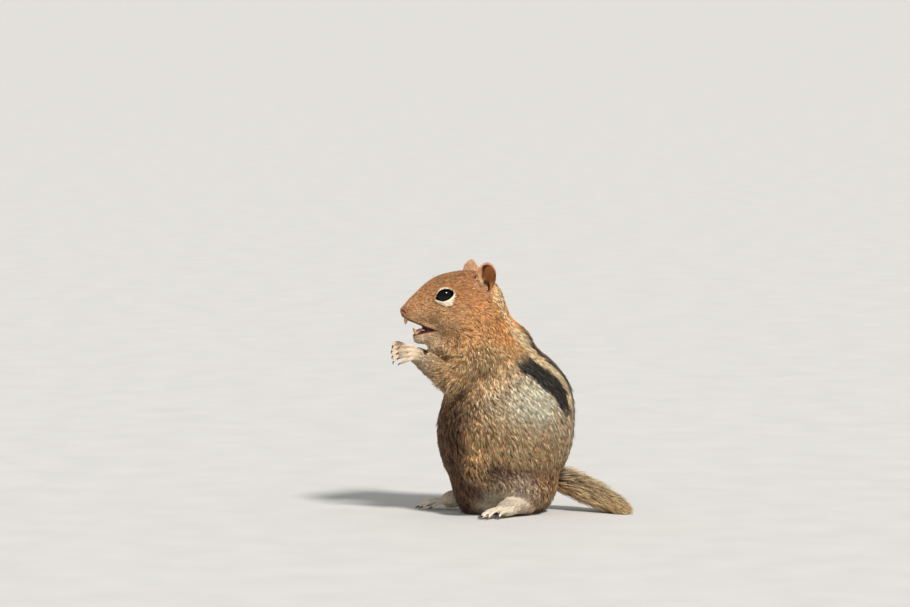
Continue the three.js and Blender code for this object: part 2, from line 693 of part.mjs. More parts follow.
function forearmAndHand(name, side) {
  const elbow = ELBOWS[name];
  const wrist = sideOf(WRIST, side);
  const axis = unit(add(wrist, scale(elbow, -1)));
  const arm = taperedTube([elbow, mix(elbow, wrist, 0.5), wrist], FOREARM_RADII, { sides: 10, steps: 2 });
  const palmStart = add(wrist, [1, 0, -1]);
  const palmEnd = add(wrist, [-5.2, side * 0.6, 0.4]);
  const pieces = [taperedTube([palmStart, mix(palmStart, palmEnd, 0.6), palmEnd], PALM_RADII,
    { sides: 8, steps: 1, across: [0.2, 0, 1], flatten: 0.62 })];
  for (let finger = 0; finger < 4; finger += 1) {
    const spread = 1.5 - finger;
    const length = FINGER_LENGTH * (1 - 0.07 * Math.abs(spread - 0.4));
    const base = add(palmEnd, [1.8, 0, spread * FINGER_SPACING]);
    const knuckle = add(base, [-length * 0.42, side * 1.1, spread * 0.55 + 0.3]);
    const bend = add(base, [-length * 0.78, side * -0.6, spread * 0.85 - 0.4]);
    const tip = add(base, [-length * 0.98, side * -3.4, spread * 0.95 - 1.6]);
    pieces.push(taperedTube([base, knuckle, bend, tip],
      [1.15, 1, 1, 0.85].map((share) => share * FINGER_RADIUS), { sides: 6, steps: 1 }));
    const clawEnd = add(tip, [-0.9, side * -2, -1.5]);
    pieces.push(taperedTube([mix(bend, tip, 0.8), add(mix(tip, clawEnd, 0.5), [-0.4, 0, 0.3]), clawEnd],
      [0.62, 0.5, 0.2], { sides: 4, steps: 1 }));
  }
  const hand = joined(pieces);
  const wristPoint = mix(elbow, wrist, WRIST_CUT);
  const [forearm] = parted(arm, wristPoint, axis);
  const [, handOnly] = parted(hand, wristPoint, axis);
  return { forearm, hand: handOnly };
}

for (const [name, side] of SIDES) {
  const { forearm, hand } = forearmAndHand(name, side);
  nodes.set(`forearm_${name}`, forearm.subtract(bodyWithGap));
  nodes.set(`hand_${name}`, hand.subtract(bodyWithGap));
}

// Hind feet, flat on the floor, with five toes each

function foot({ heel, toes }) {
  const heading = unit([toes[0] - heel[0], toes[1] - heel[1], 0]);
  const across = [-heading[1], heading[0], 0];
  const length = Math.hypot(toes[0] - heel[0], toes[1] - heel[1]);
  const at = (alongShare, sideways, height) => add(
    [heel[0], heel[1], height], add(scale(heading, length * alongShare), scale(across, sideways)));
  const pieces = [taperedTube([at(0, 0, 4.4), at(0.3, 0, 4.6), at(0.52, 0, 4), at(0.68, 0, 3)],
    FOOT_RADII, { sides: 10, steps: 1, across, flatten: 0.72 })];
  for (let toe = 0; toe < 5; toe += 1) {
    const spread = toe - 2;
    const reach = 1 - 0.045 * spread * spread;
    const base = at(0.55, spread * TOE_SPACING * 0.8, 3.4);
    const knuckle = at(0.55 + (reach - 0.55) * 0.5, spread * TOE_SPACING, 4);
    const tip = at(reach, spread * TOE_SPACING * 1.15, 1.5);
    pieces.push(taperedTube([base, knuckle, mix(knuckle, add(tip, [0, 0, 0.6]), 0.65), tip],
      [1.2, 1, 0.95, 0.8].map((share) => share * TOE_RADIUS), { sides: 6, steps: 1 }));
    const clawEnd = add(tip, add(scale(heading, CLAW_LENGTH), [0, 0, -1.1]));
    pieces.push(taperedTube([mix(knuckle, tip, 0.85), add(mix(tip, clawEnd, 0.5), [0, 0, 0.6]), clawEnd],
      [0.75, 0.6, 0.2], { sides: 4, steps: 1 }));
  }
  return joined(pieces).subtract(floorBelow);
}

for (const [name, place] of Object.entries(FEET)) {
  nodes.set(`foot_${name}`, foot(place).subtract(bodyWithGap));
}

// Tail: a core under flat, tapered locks of long hair that lie back along it and overlap

const TAIL_OUTLINE = [0.7, 0.95, 1, 0.95, 0.8, 0.2];

let draw = 7;
function random() {
  draw = (draw * 16807) % 2147483647;
  return draw / 2147483647;
}

const tailCurve = new THREE.CatmullRomCurve3(TAIL_PATH.map(vector));
const tailLength = tailCurve.getLength();
const hairLength = tailLength + TAIL_TIP_HAIR;

function alongTail(distance) {
  const share = Math.min(distance / tailLength, 1);
  const place = tailCurve.getPointAt(share);
  const heading = tailCurve.getTangentAt(share);
  const beyond = Math.max(distance - tailLength, 0);
  place.addScaledVector(heading, beyond);
  const sideways = new THREE.Vector3(heading.y, -heading.x, 0).normalize();
  const upward = new THREE.Vector3().crossVectors(sideways, heading).normalize();
  if (upward.z < 0) upward.negate();
  return { place, sideways, upward };
}

function hairReach(distance, angle) {
  const place = THREE.MathUtils.clamp(distance / hairLength, 0, 1) * (TAIL_OUTLINE.length - 1);
  const left = Math.min(Math.floor(place), TAIL_OUTLINE.length - 2);
  const share = TAIL_OUTLINE[left] + (TAIL_OUTLINE[left + 1] - TAIL_OUTLINE[left]) * (place - left);
  return share / Math.hypot(Math.cos(angle) / TAIL_HAIR_WIDTH, Math.sin(angle) / TAIL_HAIR_HEIGHT);
}

function tailLock(rootDistance, angle) {
  const length = Math.min(LOCK_LENGTH * (0.9 + 0.2 * random()), hairLength - rootDistance);
  const lean = angle + 0.25 * (random() - 0.5);
  const points = [[0, 0.1], [0.3, 0.55], [0.65, 0.85], [1, 0.97]].map(([share, reach]) => {
    const distance = rootDistance + length * share;
    const { place, sideways, upward } = alongTail(distance);
    const outer = hairReach(rootDistance + length, lean);
    const radius = TAIL_CORE_RADIUS * 0.6 * (1 - reach) + outer * reach;
    return place
      .addScaledVector(sideways, radius * Math.cos(lean))
      .addScaledVector(upward, radius * Math.sin(lean));
  });
  const { sideways, upward } = alongTail(rootDistance + length / 2);
  const across = sideways.multiplyScalar(-Math.sin(lean)).addScaledVector(upward, Math.cos(lean));
  const radii = [0.75, 1, 0.75, 0.1].map((share) => share * LOCK_WIDTH / 2);
  return taperedTube(points.map((point) => point.toArray()), radii, {
    sides: 3, steps: 1, across: across.toArray(), flatten: LOCK_THICKNESS / LOCK_WIDTH, turn: Math.PI / 2,
  });
}

const tailCore = taperedTube(TAIL_PATH, [1.1, 1.05, 1, 0.8, 0.5].map((share) => share * TAIL_CORE_RADIUS),
  { sides: 8, steps: 2, across: [0.5, 0.86, 0] });
const tailPieces = [tailCore];
for (let ring = 0; ring < LOCK_RINGS; ring += 1) {
  const rootDistance = 4 + (tailLength - 5) * ring / (LOCK_RINGS - 1);
  for (let lock = 0; lock < LOCKS_AROUND; lock += 1) {
    const angle = 2 * Math.PI * (lock + 0.5 * (ring % 2)) / LOCKS_AROUND;
    tailPieces.push(tailLock(rootDistance + 2.5 * (random() - 0.5), angle));
  }
}
const wholeTail = joined(tailPieces).subtract(floorBelow).subtract(bodyWithGap);
const partingPoint = tailCurve.getPointAt(TAIL_PARTING).toArray();
const [tailBase, tailRest] = parted(wholeTail, partingPoint, tailCurve.getTangentAt(TAIL_PARTING).toArray());
nodes.set('tail_base', tailBase);
nodes.set('tail', tailRest);

// The finished group, standing on z = 0 with its box centred on the origin

const FINISHES = {
  eye: { color: 0x0a0705, roughness: 0.08 },
  incisors: { color: 0xd8b070, roughness: 0.35 },
  tongue: { color: 0xb06a60, roughness: 0.45 },
  ear: { color: 0xb9764a, roughness: 0.8 },
  head: { color: 0xc08a58, roughness: 0.95 },
  lower_jaw: { color: 0xd7b184, roughness: 0.95 },
  neck: { color: 0xc9854c, roughness: 0.95 },
  chest: { color: 0x8a6a49, roughness: 0.95 },
  abdomen: { color: 0x836647, roughness: 0.95 },
  haunch: { color: 0x8f7350, roughness: 0.95 },
  shank: { color: 0xa08560, roughness: 0.95 },
  upper_arm: { color: 0xb08a5c, roughness: 0.95 },
  forearm: { color: 0xc9a878, roughness: 0.95 },
  hand: { color: 0xe3cfae, roughness: 0.8 },
  foot: { color: 0xe6d6b8, roughness: 0.8 },
  tail: { color: 0x9c8458, roughness: 0.95 },
};

function finishOf(name) {
  const kind = Object.keys(FINISHES).find((start) => name.startsWith(start));
  return new THREE.MeshStandardMaterial({ ...FINISHES[kind], metalness: 0 });
}

const group = new THREE.Group();
for (const [name, solid] of nodes) {
  const { vertProperties, triVerts } = largest(solid).getMesh();
  const geometry = new THREE.BufferGeometry();
  geometry.setAttribute('position', new THREE.BufferAttribute(new Float32Array(vertProperties), 3));
  geometry.setIndex(new THREE.BufferAttribute(new Uint32Array(triVerts), 1));
  const piece = new THREE.Mesh(geometry, finishOf(name));
  piece.name = name;
  group.add(piece);
}
const box = new THREE.Box3().setFromObject(group);
const middle = box.getCenter(new THREE.Vector3());
group.position.set(-middle.x, -middle.y, -box.min.z);

export default group;
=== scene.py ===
"""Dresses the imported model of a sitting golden-mantled ground squirrel: skin, coat, eyes, teeth and claws."""

import math

import bmesh
import bpy
import numpy as np
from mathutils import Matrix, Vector
from mathutils.bvhtree import BVHTree
from mathutils.kdtree import KDTree


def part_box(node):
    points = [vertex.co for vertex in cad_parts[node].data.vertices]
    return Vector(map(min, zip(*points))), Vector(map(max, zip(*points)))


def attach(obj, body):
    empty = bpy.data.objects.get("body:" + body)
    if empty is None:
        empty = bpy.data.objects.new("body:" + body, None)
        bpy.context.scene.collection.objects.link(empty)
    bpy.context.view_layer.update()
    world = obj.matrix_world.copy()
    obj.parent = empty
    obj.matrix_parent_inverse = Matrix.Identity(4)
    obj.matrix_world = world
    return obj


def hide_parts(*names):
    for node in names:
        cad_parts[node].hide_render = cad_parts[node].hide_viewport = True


bl_info = {
    "name": "Golden-mantled ground squirrel",
    "version": (1, 0, 0),
    "blender": (4, 5, 0),
    "location": "3D View > Sidebar > Squirrel",
    "description": "Skin, coat, eyes, teeth and claws for the packed model of a sitting ground squirrel",
    "category": "Object",
}

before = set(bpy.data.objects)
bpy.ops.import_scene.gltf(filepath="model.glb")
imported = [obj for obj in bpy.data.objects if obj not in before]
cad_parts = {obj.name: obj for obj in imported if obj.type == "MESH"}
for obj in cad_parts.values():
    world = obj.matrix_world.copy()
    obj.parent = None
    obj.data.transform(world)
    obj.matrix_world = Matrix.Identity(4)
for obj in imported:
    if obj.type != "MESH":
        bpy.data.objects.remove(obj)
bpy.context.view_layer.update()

# Places and sizes are millimetres in the animal's own axes: it faces -X, its left side is -Y, and the floor
# is z = 0. A place to the side of the middle is given for the right side.

MM = 0.001
SIDES = {"left": -1, "right": 1}

EYE_CENTRE = np.array((-33.8, 7.5, 118.6))
EYE_RADIUS = 5.3
EYE_AXIS = (-0.34, 0.92, 0.2)
EYE_OPENING = (5.2, 3.1)
EYE_NARROWING = 0.12
EYE_CORNER = 0.35
EYE_TILT = math.radians(5)

# The lids: how far each ring of their band lies outside the opening, and how far from the eye's centre. Then
# the distance of their bare rims from that centre and the rims' thickness along the lids and through them.

LID_RINGS = ((0.05, 5.5), (0.05, 6.1), (2.2, 5.7), (2.2, 5.1))
LID_RIM_REACH = 5.72
LID_RIM_SIZE = (0.26, 0.36)

# The pale ring of hair round the eye: its width, how much wider it is below, and how much narrower at the
# front and back corners

EYE_RING_WIDTH = 0.75
EYE_RING_BELOW = 1.8
EYE_RING_FRONT = 0.35
EYE_RING_BACK = 0.45

EAR_ROOT = (-13.2, 12.4, 119.4)
EAR_HEIGHT = 17.5
EAR_WIDTH = 12.4
EAR_DEPTH = 5.2
EAR_UPWARD = (0.1, 0.1, 1)
EAR_FACING = (-0.42, 0.9, 0)

# Rim, inner ridge and the small flaps before and behind the ear's opening: the share of the way to the rim
# and the angle in degrees of each point, how far it lies inside the bowl, the radii and the number of rings

EAR_FOLDS = (
    ([(0.96, angle) for angle in np.linspace(-60, 240, 14)], 0.1, (0.4, 0.6, 0.6, 0.6, 0.4), 40),
    (((0.6, -20), (0.6, 20), (0.6, 60), (0.6, 100)), 0.3, (0.3, 0.6, 0.55, 0.3), 16),
    (((0.95, 215), (0.62, 222), (0.5, 205)), 0.2, (1.1, 1.2, 0.6), 10),
    (((0.9, -60), (0.62, -52), (0.5, -35)), 0.2, (1.1, 1.1, 0.5), 10),
)

NOSE_TIP = (-56.8, 0.0, 110.9)
NOSTRIL = ((-57.4, 1.4, 111.3), (-56.8, 2.3, 111.2), (-55.9, 3.0, 110.5), (-55.2, 3.3, 109.7))

# The corner of the mouth and the lips, forward and up in the side view

MOUTH_CORNER = (-37.6, 100.0)
UPPER_LIP = (MOUTH_CORNER, (-44.9, 102.8), (-51.1, 105.6), (-56.0, 108.2))
LOWER_LIP = (MOUTH_CORNER, (-44.5, 98.7), (-49.6, 97.4))

UPPER_INCISOR = ((-52.8, 0.68, 107.8), (-53.4, 0.68, 106.0), (-53.5, 0.66, 104.7), (-53.6, 0.62, 103.5))
LOWER_INCISOR = ((-46.9, 0.6, 97.0), (-47.9, 0.6, 98.8), (-48.6, 0.58, 100.2), (-49.3, 0.55, 101.3))
UPPER_INCISOR_RADII = (0.66, 0.66, 0.62, 0.52)
LOWER_INCISOR_RADII = (0.58, 0.58, 0.54, 0.44)
INCISOR_FLAT = (1.35, 1.35, 1.15, 0.3)
TONGUE_PATH = ((-43.2, 0, 100.0), (-45.2, 0, 100.2), (-47.2, 0, 99.8))
TONGUE_RADII = (2.7, 2.6, 1.6)
TONGUE_FLAT = 0.34

WHISKER_ROOTS = (
    (-50.5, 6.1, 109.2), (-48.3, 6.9, 108.8), (-46.0, 7.5, 108.4), (-50.0, 6.2, 107.4),
    (-47.8, 7.0, 107.0), (-45.4, 7.6, 106.6), (-49.2, 6.0, 105.8), (-46.8, 6.9, 105.2),
)
WHISKER_LENGTH = (14, 21)
BROW_HAIR_ROOTS = ((-38.5, 7.5, 124.5), (-36.5, 8.2, 125.2))
BROW_HAIR_LENGTH = 7

WRIST = np.array((-48.0, 9.0, 88.4))
PALM_RADII = (3.5, 4.1, 3.5)
PALM_FLAT = 0.6
FINGER_LENGTH = 8.0
FINGER_SPACING = 1.9
FINGER_RADII = (1.1, 0.95, 0.9, 0.62)
THUMB_RADII = (0.95, 0.7)

# Going forward the fingers turn bare between these places, and only below these heights

BARE_FINGERS = (-51, -53)
ABOVE_FINGERS = (96.5, 95.5)

# The joints of a finger past its base: the share of its length, how far they stand out of the hand, how much
# they spread, and how far they rise

FINGER_CURL = ((0.42, 1.1, 0.55, 0.3), (0.78, -0.6, 0.85, -0.4), (0.98, -3.4, 0.95, -1.6))

# Where the heel and the toes of each foot stand on the floor, and the foot's arch: the share of its length
# from the heel, its height and its radius

FEET = {"left": ((12, -20), (-21, -33)), "right": ((-3, 19), (-37.5, 26))}
FOOT_ARCH = ((-0.05, 4, 2.6), (0.02, 4.8, 4.4), (0.3, 6, 5.2), (0.48, 5.8, 5.7), (0.6, 4.3, 4.6))
FOOT_FLAT = 0.9
TOE_SPACING = 2.6
TOE_RADII = (1.7, 1.35, 1.2, 0.9)
CLAW_LENGTH = 2.5
FINGER_CLAW_RADII = (0.42, 0.34, 0.07)
TOE_CLAW_RADII = (0.52, 0.42, 0.09)

TAIL_PATH = ((22, 2, 17), (34, 0, 16), (44, -7, 12.4), (52, -16, 8.2), (58, -26, 4.8))
TAIL_CORE_RADIUS = 2.6
TAIL_TAPER = (1.3, 1.15, 1, 0.75, 0.4)

KEPT_FLESH = ["abdomen", "chest", "neck", "head", "lower_jaw"] + [
    f"{part}_{side}" for part in ("haunch", "shank", "upper_arm", "forearm", "ear") for side in SIDES]
PAWS = [f"{part}_{side}" for part in ("hand", "foot") for side in SIDES]
TAIL_NODES = ["tail_base", "tail"]

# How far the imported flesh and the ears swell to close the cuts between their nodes, and the least height over
# the floor of the skin and of the coat

SEAM_SWELL = 0.2
EAR_SWELL = 0.05
SKIN_FLOOR = 0.02
COAT_FLOOR = 0.05


def place_of_model():
    """Where the animal's own axes have their origin in the frame, from the centre of the left eye's node."""
    low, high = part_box("eye_left")
    centre = (np.array(low) + np.array(high)) / 2 / MM
    return centre - EYE_CENTRE * (1, -1, 1)


ORIGIN = place_of_model()


# Colours


def linear(red, green, blue):
    """A colour given as it looks on a screen, 0 to 255, as the linear values that a shader takes."""
    share = np.array((red, green, blue)) / 255
    curved = ((share + 0.055) / 1.055) ** 2.4
    return tuple(float(v) for v in np.where(share <= 0.04045, share / 12.92, curved))


# Each part of the coat has the colour of its hairs at the root, at the middle and at the tip, as they look
# on a screen, and the share of its hairs with dark tips

COAT_TONES = {
    "nose": ((120, 78, 50), (160, 108, 72), (184, 130, 90), 0.1),
    "face": ((120, 72, 36), (172, 114, 66), (202, 150, 100), 0.16),
    "crown": ((62, 40, 23), (118, 78, 44), (166, 122, 80), 0.35),
    "cheek": ((134, 86, 46), (190, 134, 80), (236, 196, 144), 0.24),
    "chin": ((200, 172, 134), (234, 214, 182), (246, 234, 210), 0),
    "mantle": ((138, 78, 34), (228, 152, 84), (252, 204, 138), 0.1),
    "shoulder": ((58, 38, 22), (194, 138, 80), (255, 226, 176), 0.36),
    "back": ((50, 38, 28), (112, 88, 62), (190, 162, 126), 0.4),
    "flank": ((54, 36, 22), (200, 148, 94), (255, 238, 194), 0.33),
    # pale_sunlit_flank: paler hair of the upper flank, brightened further as painted sunlight
    "pale_sunlit_flank": ((130, 104, 74), (248, 230, 192), (255, 250, 232), 0.04),
    "haunch": ((52, 34, 20), (192, 132, 76), (255, 228, 170), 0.35),
    # belly: its own buff hair darkened as painted shade, since the belly's front is turned away from the light
    "belly": ((38, 25, 17), (88, 60, 40), (146, 108, 74), 0.12),
    "limb": ((106, 74, 46), (194, 148, 98), (244, 216, 166), 0.16),
    "paw": ((226, 204, 172), (250, 238, 214), (255, 248, 232), 0),
    "ear": ((150, 102, 68), (210, 158, 114), (234, 190, 148), 0.03),
    "black": ((22, 17, 14), (28, 22, 18), (48, 40, 32), 0),
    "cream": ((200, 158, 112), (246, 211, 161), (255, 232, 192), 0),
    "whisker_pad": ((146, 104, 62), (214, 168, 114), (246, 220, 176), 0.25),
    "temple": ((130, 72, 34), (206, 130, 66), (232, 170, 106), 0.08),
    # leg: darkened as painted shade under the overhanging haunch
    "leg": ((44, 28, 16), (140, 93, 54), (226, 186, 134), 0.32),
    # nape: pale hair, brightened as painted rim light along the back of the neck; the same colour paints the
    # patch behind the ear
    "nape": ((206, 150, 96), (252, 205, 148), (255, 226, 180), 0),
    "dark_back": ((24, 19, 16), (42, 35, 29), (112, 100, 84), 0.25),
    "eye_ring": ((240, 214, 172), (252, 236, 204), (254, 246, 226), 0),
}
COATS = {name: (*(linear(*tone) for tone in tones), dark) for name, (*tones, dark) in COAT_TONES.items()}

EYE_RIM = linear(30, 20, 15)
FINGER_SKIN = linear(224, 196, 166)
LIPS = linear(120, 78, 66)
# Painted shade inside the open mouth and in the openings of the nostrils
MOUTH_SHADE = linear(52, 22, 18)
NOSE_PAD = linear(168, 116, 96)
NOSTRIL_SHADE = linear(34, 18, 14)
EAR_RIM = linear(218, 166, 130)
EAR_BOWL = linear(178, 118, 66)
# Painted shadow inside the ear under the rim at its top
EAR_RIM_SHADOW = linear(70, 36, 18)
EAR_EDGE = linear(206, 156, 112)

# Places on the coat: the part it belongs to, its place, the way its hair lies, the hair's length, its colour.
# Those with a place to the side of the middle stand for both sides.

GUIDES = (
    ("face", (-55, 0, 112), (1, 0, 0.6), 0.9, "nose"),
    ("face", (-50, 0, 115.5), (1, 0, 0.6), 1.6, "face"),
    ("face", (-49, 6, 109), (1, 0.3, -0.1), 1.5, "face"),
    ("face", (-47, 6, 104), (1, 0.2, -0.4), 1.3, "whisker_pad"),
    ("face", (-44, 8.5, 106), (1, 0.25, -0.35), 1.7, "whisker_pad"),
    ("face", (-42, 8, 109), (1, 0.3, -0.3), 1.9, "cheek"),
    ("face", (-37, 11, 114), (1, 0.3, -0.2), 1.9, "face"),
    ("face", (-36, 0, 127), (1, 0, 0.5), 2.4, "crown"),
    ("face", (-43, 6.5, 117), (1, 0.3, 0.3), 1.8, "face"),
    ("face", (-34, 9, 125), (1, 0.25, 0.3), 2.0, "face"),
    ("face", (-36, 11.5, 111), (1, 0.3, -0.3), 2.2, "cheek"),
    ("face", (-40, 9, 103.5), (1, 0.3, -0.5), 1.8, "cheek"),
    ("face", (-29, 13, 104), (1, 0.2, -0.5), 3.2, "cheek"),
    ("face", (-23, 14, 117), (1, 0.1, -0.15), 2.4, "temple"),
    ("face", (-43, 4, 96), (1, 0.3, -0.4), 1.5, "chin"),
    ("crown", (-22, 0, 132), (1, 0, 0), 3.0, "crown"),
    ("crown", (-21, 9, 129), (1, 0.15, -0.05), 2.6, "face"),
    ("crown", (-9, 0, 129), (0.8, 0, -0.6), 4.0, "mantle"),
    ("neck", (-22, 15, 107), (0.9, 0.1, -0.5), 3.8, "mantle"),
    ("neck", (-22, 16, 98), (0.5, 0.1, -0.85), 4.4, "cheek"),
    ("neck", (-31, 7, 95), (-0.1, 0.2, -1), 5.0, "cheek"),
    ("neck", (0, 5, 117), (0.42, 0, -0.9), 5.0, "mantle"),
    ("neck", (-12, 15, 104), (0.5, 0.1, -0.85), 4.6, "mantle"),
    ("neck", (-30, 8, 88), (-0.2, 0.1, -1), 5.0, "shoulder"),
    ("neck", (-4, 16, 96), (0.45, 0.1, -0.9), 5.2, "mantle"),
    ("shoulder", (8, 10, 101), (0.6, 0.1, -0.8), 5.6, "mantle"),
    ("shoulder", (-14, 20, 87), (0.2, 0.1, -0.95), 5.0, "shoulder"),
    ("shoulder", (2, 21, 84), (0.45, 0.1, -0.9), 6.0, "flank"),
    ("shoulder", (-28, 5, 72), (0.05, 0.05, -1), 4.8, "flank"),
    ("back", (14, 0, 97), (0.66, 0, -0.75), 5.8, "back"),
    ("back", (24, 0, 88), (0.7, 0, -0.72), 6.2, "back"),
    ("back", (36, 0, 72), (0.4, 0, -0.9), 6.5, "back"),
    ("back", (41, 0, 55), (0.1, 0, -1), 6.5, "back"),
    ("back", (40, 0, 38), (-0.1, 0, -1), 6.5, "back"),
    ("back", (36, 0, 24), (-0.15, 0, -1), 6.2, "back"),
    ("flank", (12, 25, 72), (0.5, 0.05, -0.86), 6.6, "pale_sunlit_flank"),
    ("flank", (-10, 25, 70), (0.35, 0.1, -0.93), 6.2, "flank"),
    ("flank", (24, 23, 56), (0.42, 0, -0.9), 6.8, "flank"),
    ("flank", (33, 18, 42), (0.2, 0, -0.97), 6.6, "flank"),
    ("flank", (27, 18, 22), (0.2, 0, -0.97), 6.0, "leg"),
    ("haunch", (4, 31, 58), (0.45, 0.05, -0.88), 6.6, "haunch"),
    ("haunch", (-12, 30, 52), (0.35, 0.05, -0.93), 6.2, "haunch"),
    ("haunch", (4, 32, 40), (0.45, 0, -0.88), 6.6, "haunch"),
    ("haunch", (-22, 26, 40), (0.05, 0.05, -1), 5.4, "haunch"),
    ("haunch", (20, 27, 34), (0.4, 0, -0.9), 6.4, "haunch"),
    ("belly", (-28, 6, 56), (0.1, 0.2, -0.97), 5.2, "belly"),
    ("belly", (-28, 6, 38), (0.1, 0.25, -0.95), 5.2, "belly"),
    ("belly", (-30, 13, 62), (0.1, 0.2, -0.97), 4.8, "belly"),
    ("belly", (-29, 15, 48), (0.1, 0.2, -0.97), 5.0, "belly"),
    ("belly", (-28, 16, 34), (0.1, 0.2, -0.97), 5.0, "belly"),
    ("belly", (-24, 6, 20), (0.2, 0.25, -0.95), 4.6, "belly"),
    ("belly", (0, 8, 2), (1, 0, 0), 3.0, "belly"),
    ("leg", (-22, 27, 23), (0.3, 0.1, -0.95), 4.2, "leg"),
    ("leg", (-4, 30, 17), (0.65, 0.05, -0.75), 4.8, "leg"),
    ("leg", (-12, 28, 14), (0.25, 0.05, -0.95), 4.4, "leg"),
    ("leg", (12, 27, 11), (0.6, 0, -0.8), 4.6, "leg"),
    ("leg", (-24, 17, 18), (0.2, -0.1, -0.95), 3.8, "belly"),
    ("arm", (-24, 20, 80), (-0.25, 0.1, -0.95), 4.6, "shoulder"),
    ("arm", (-42, 9, 89), (-0.8, -0.2, 0.3), 2.0, "limb"),
    ("arm", (-38, 13, 87), (-0.75, -0.1, 0.2), 2.6, "limb"),
    ("arm", (-34, 22, 72), (-0.1, 0.1, -1), 4.2, "shoulder"),
    ("arm", (-38, 18, 80), (-0.5, -0.2, -0.1), 3.6, "limb"),
    ("arm", (-43, 14, 84), (-0.7, -0.3, 0.55), 2.6, "limb"),
    ("hand", (-49, 9.5, 88), (-1, 0, 0.05), 1.0, "paw"),
    ("hand", (-56, 10, 89), (-1, -0.2, -0.35), 0.5, "paw"),
)

# Places along each foot: the share of its length from the heel, the height, the hair's length and its colour

FOOT_GUIDES = (
    (0.05, 7.0, 3.2, "leg"),
    (0.28, 8.5, 2.0, "paw"),
    (0.5, 8.0, 1.3, "paw"),
    (0.75, 5.0, 0.8, "paw"),
    (0.95, 3.0, 0.5, "paw"),
)

# How far a guide reaches, the length of the ears' hair, the number of hairs in their pale fringe, and how far
# the skin lies under the coat as a share of the hair's length

GUIDE_REACH = 6.5
EAR_HAIR = 0.9
EAR_FRINGE_HAIRS = 200
LIE_HEIGHT = 0.25

# The share of a full smoothing that each part of the skin takes, the passes of a full one, and the faces and
# the margin of the light copy that the skin is unwrapped on

SOFTNESS = {
    "face": 0.14, "crown": 0.5, "neck": 1, "shoulder": 1, "back": 1, "flank": 1, "haunch": 0.8,
    "belly": 1, "leg": 0.5, "arm": 0.3, "hand": 0.01, "foot": 0.02, "ear": 0.02,
}
SMOOTHING_PASSES = 220
UNWRAP_FACES = 9000
UNWRAP_MARGIN = 0.006

# Folds of the body: the path of each, its depth, its width and how much painted shade darkens the coat in it.
# The right haunch sits a little further back.

FOLDS = (
    (((-23, 27, 31), (-16, 29, 26.5), (-4, 31, 24), (8, 30, 22.5), (18, 27, 21), (28, 20, 20)),
     3.6, 2.8, 0.82),
    (((-22, 28, 30), (-29, 22, 37), (-31.5, 17, 47), (-30, 17, 58), (-24, 22, 67)), 1.8, 3.2, 0.4),
    (((-26, 24, 66), (-20, 26, 74), (-8, 25, 80)), 1.4, 2.8, 0.35),
)
FOLD_SHIFT = {"left": 0, "right": 5}

# Swellings of the body: the middle of each, how far it reaches and its height

SWELLINGS = (
    ((-7, 30, 42), 11, 1.4),
    ((-49.5, 5.6, 107.6), 2.4, 0.5),
    ((-35, 9, 124.4), 2.4, 0.35),
    ((-30, 13, 105), 5, 0.6),
    ((-30, 5, 13), 8, -2.0),
)

# Pieces of the coat: its parts of the skin, the sides, the number of tufts, a tuft's width in millimetres,
# its lift from the skin in degrees and how strongly its tufts clump

COAT_PIECES = {
    "coat_face_left": (("face",), (-1,), 25000, 0.24, 11, 0.3),
    "coat_face_right": (("face",), (1,), 25000, 0.24, 11, 0.3),
    "coat_crown": (("crown",), (-1, 1), 12000, 0.29, 13, 0.35),
    "coat_neck": (("neck",), (-1, 1), 27000, 0.32, 20, 0.65),
    "coat_shoulders": (("shoulder",), (-1, 1), 24000, 0.36, 20, 0.7),
    "coat_back": (("back",), (-1, 1), 19000, 0.4, 18, 0.65),
    "coat_flanks": (("flank",), (-1, 1), 26000, 0.37, 20, 0.7),
    "coat_haunches": (("haunch",), (-1, 1), 27000, 0.37, 20, 0.7),
    "coat_belly": (("belly",), (-1, 1), 9000, 0.42, 18, 0.6),
    "coat_legs": (("leg",), (-1, 1), 9000, 0.38, 18, 0.55),
    "coat_arms": (("arm",), (-1, 1), 10000, 0.28, 16, 0.45),
    "coat_paws": (("hand", "foot"), (-1, 1), 12000, 0.17, 10, 0.3),
    "coat_ears": (("ear",), (-1, 1), 5000, 0.18, 14, 0.2),
}
PART_NAMES = sorted(SOFTNESS)
NODES_OF_PARTS = {
    "face": "head", "crown": "head", "neck": "neck", "shoulder": "chest", "back": "abdomen",
    "flank": "abdomen", "haunch": "haunch", "belly": "abdomen", "leg": "shank", "arm": "forearm",
    "hand": "hand", "foot": "foot", "ear": "ear",
}

# The skin's points, normals and fields, once it is made, for all that grows on it

SKIN = {}


# Small helps for shapes


def unit(vectors):
    """Vectors at length one, one or many."""
    vectors = np.asarray(vectors, float)
    return vectors / np.maximum(np.linalg.norm(vectors, axis=-1, keepdims=True), 1e-9)


def ramp(low, high, value):
    """0 below low, 1 above high and smooth between; low may be the greater one."""
    share = np.clip((value - low) / (high - low), 0, 1)
    return share * share * (3 - 2 * share)


def blend(a, b, share):
    """Colours or vectors a, going over to b by a share for each row."""
    share = np.asarray(share)[..., None]
    return a * (1 - share) + np.asarray(b) * share


def on_side(point, side):
    """A point of the right side, on the side asked for."""
    return np.array((point[0], point[1] * side, point[2]), float)


def smooth_path(points, count):
    """A path of count points on a smooth curve through a few."""
    points = np.asarray(points, float)
    padded = np.vstack((2 * points[0] - points[1], points, 2 * points[-1] - points[-2]))
    place = np.linspace(0, len(points) - 1, count)
    first = np.minimum(place.astype(int), len(points) - 2)
    t = (place - first)[:, None]
    a, b, c, d = (padded[first + i] for i in range(4))
    return 0.5 * (2 * b + (c - a) * t + (2 * a - 5 * b + 4 * c - d) * t**2 + (3 * b - a - 3 * c + d) * t**3)


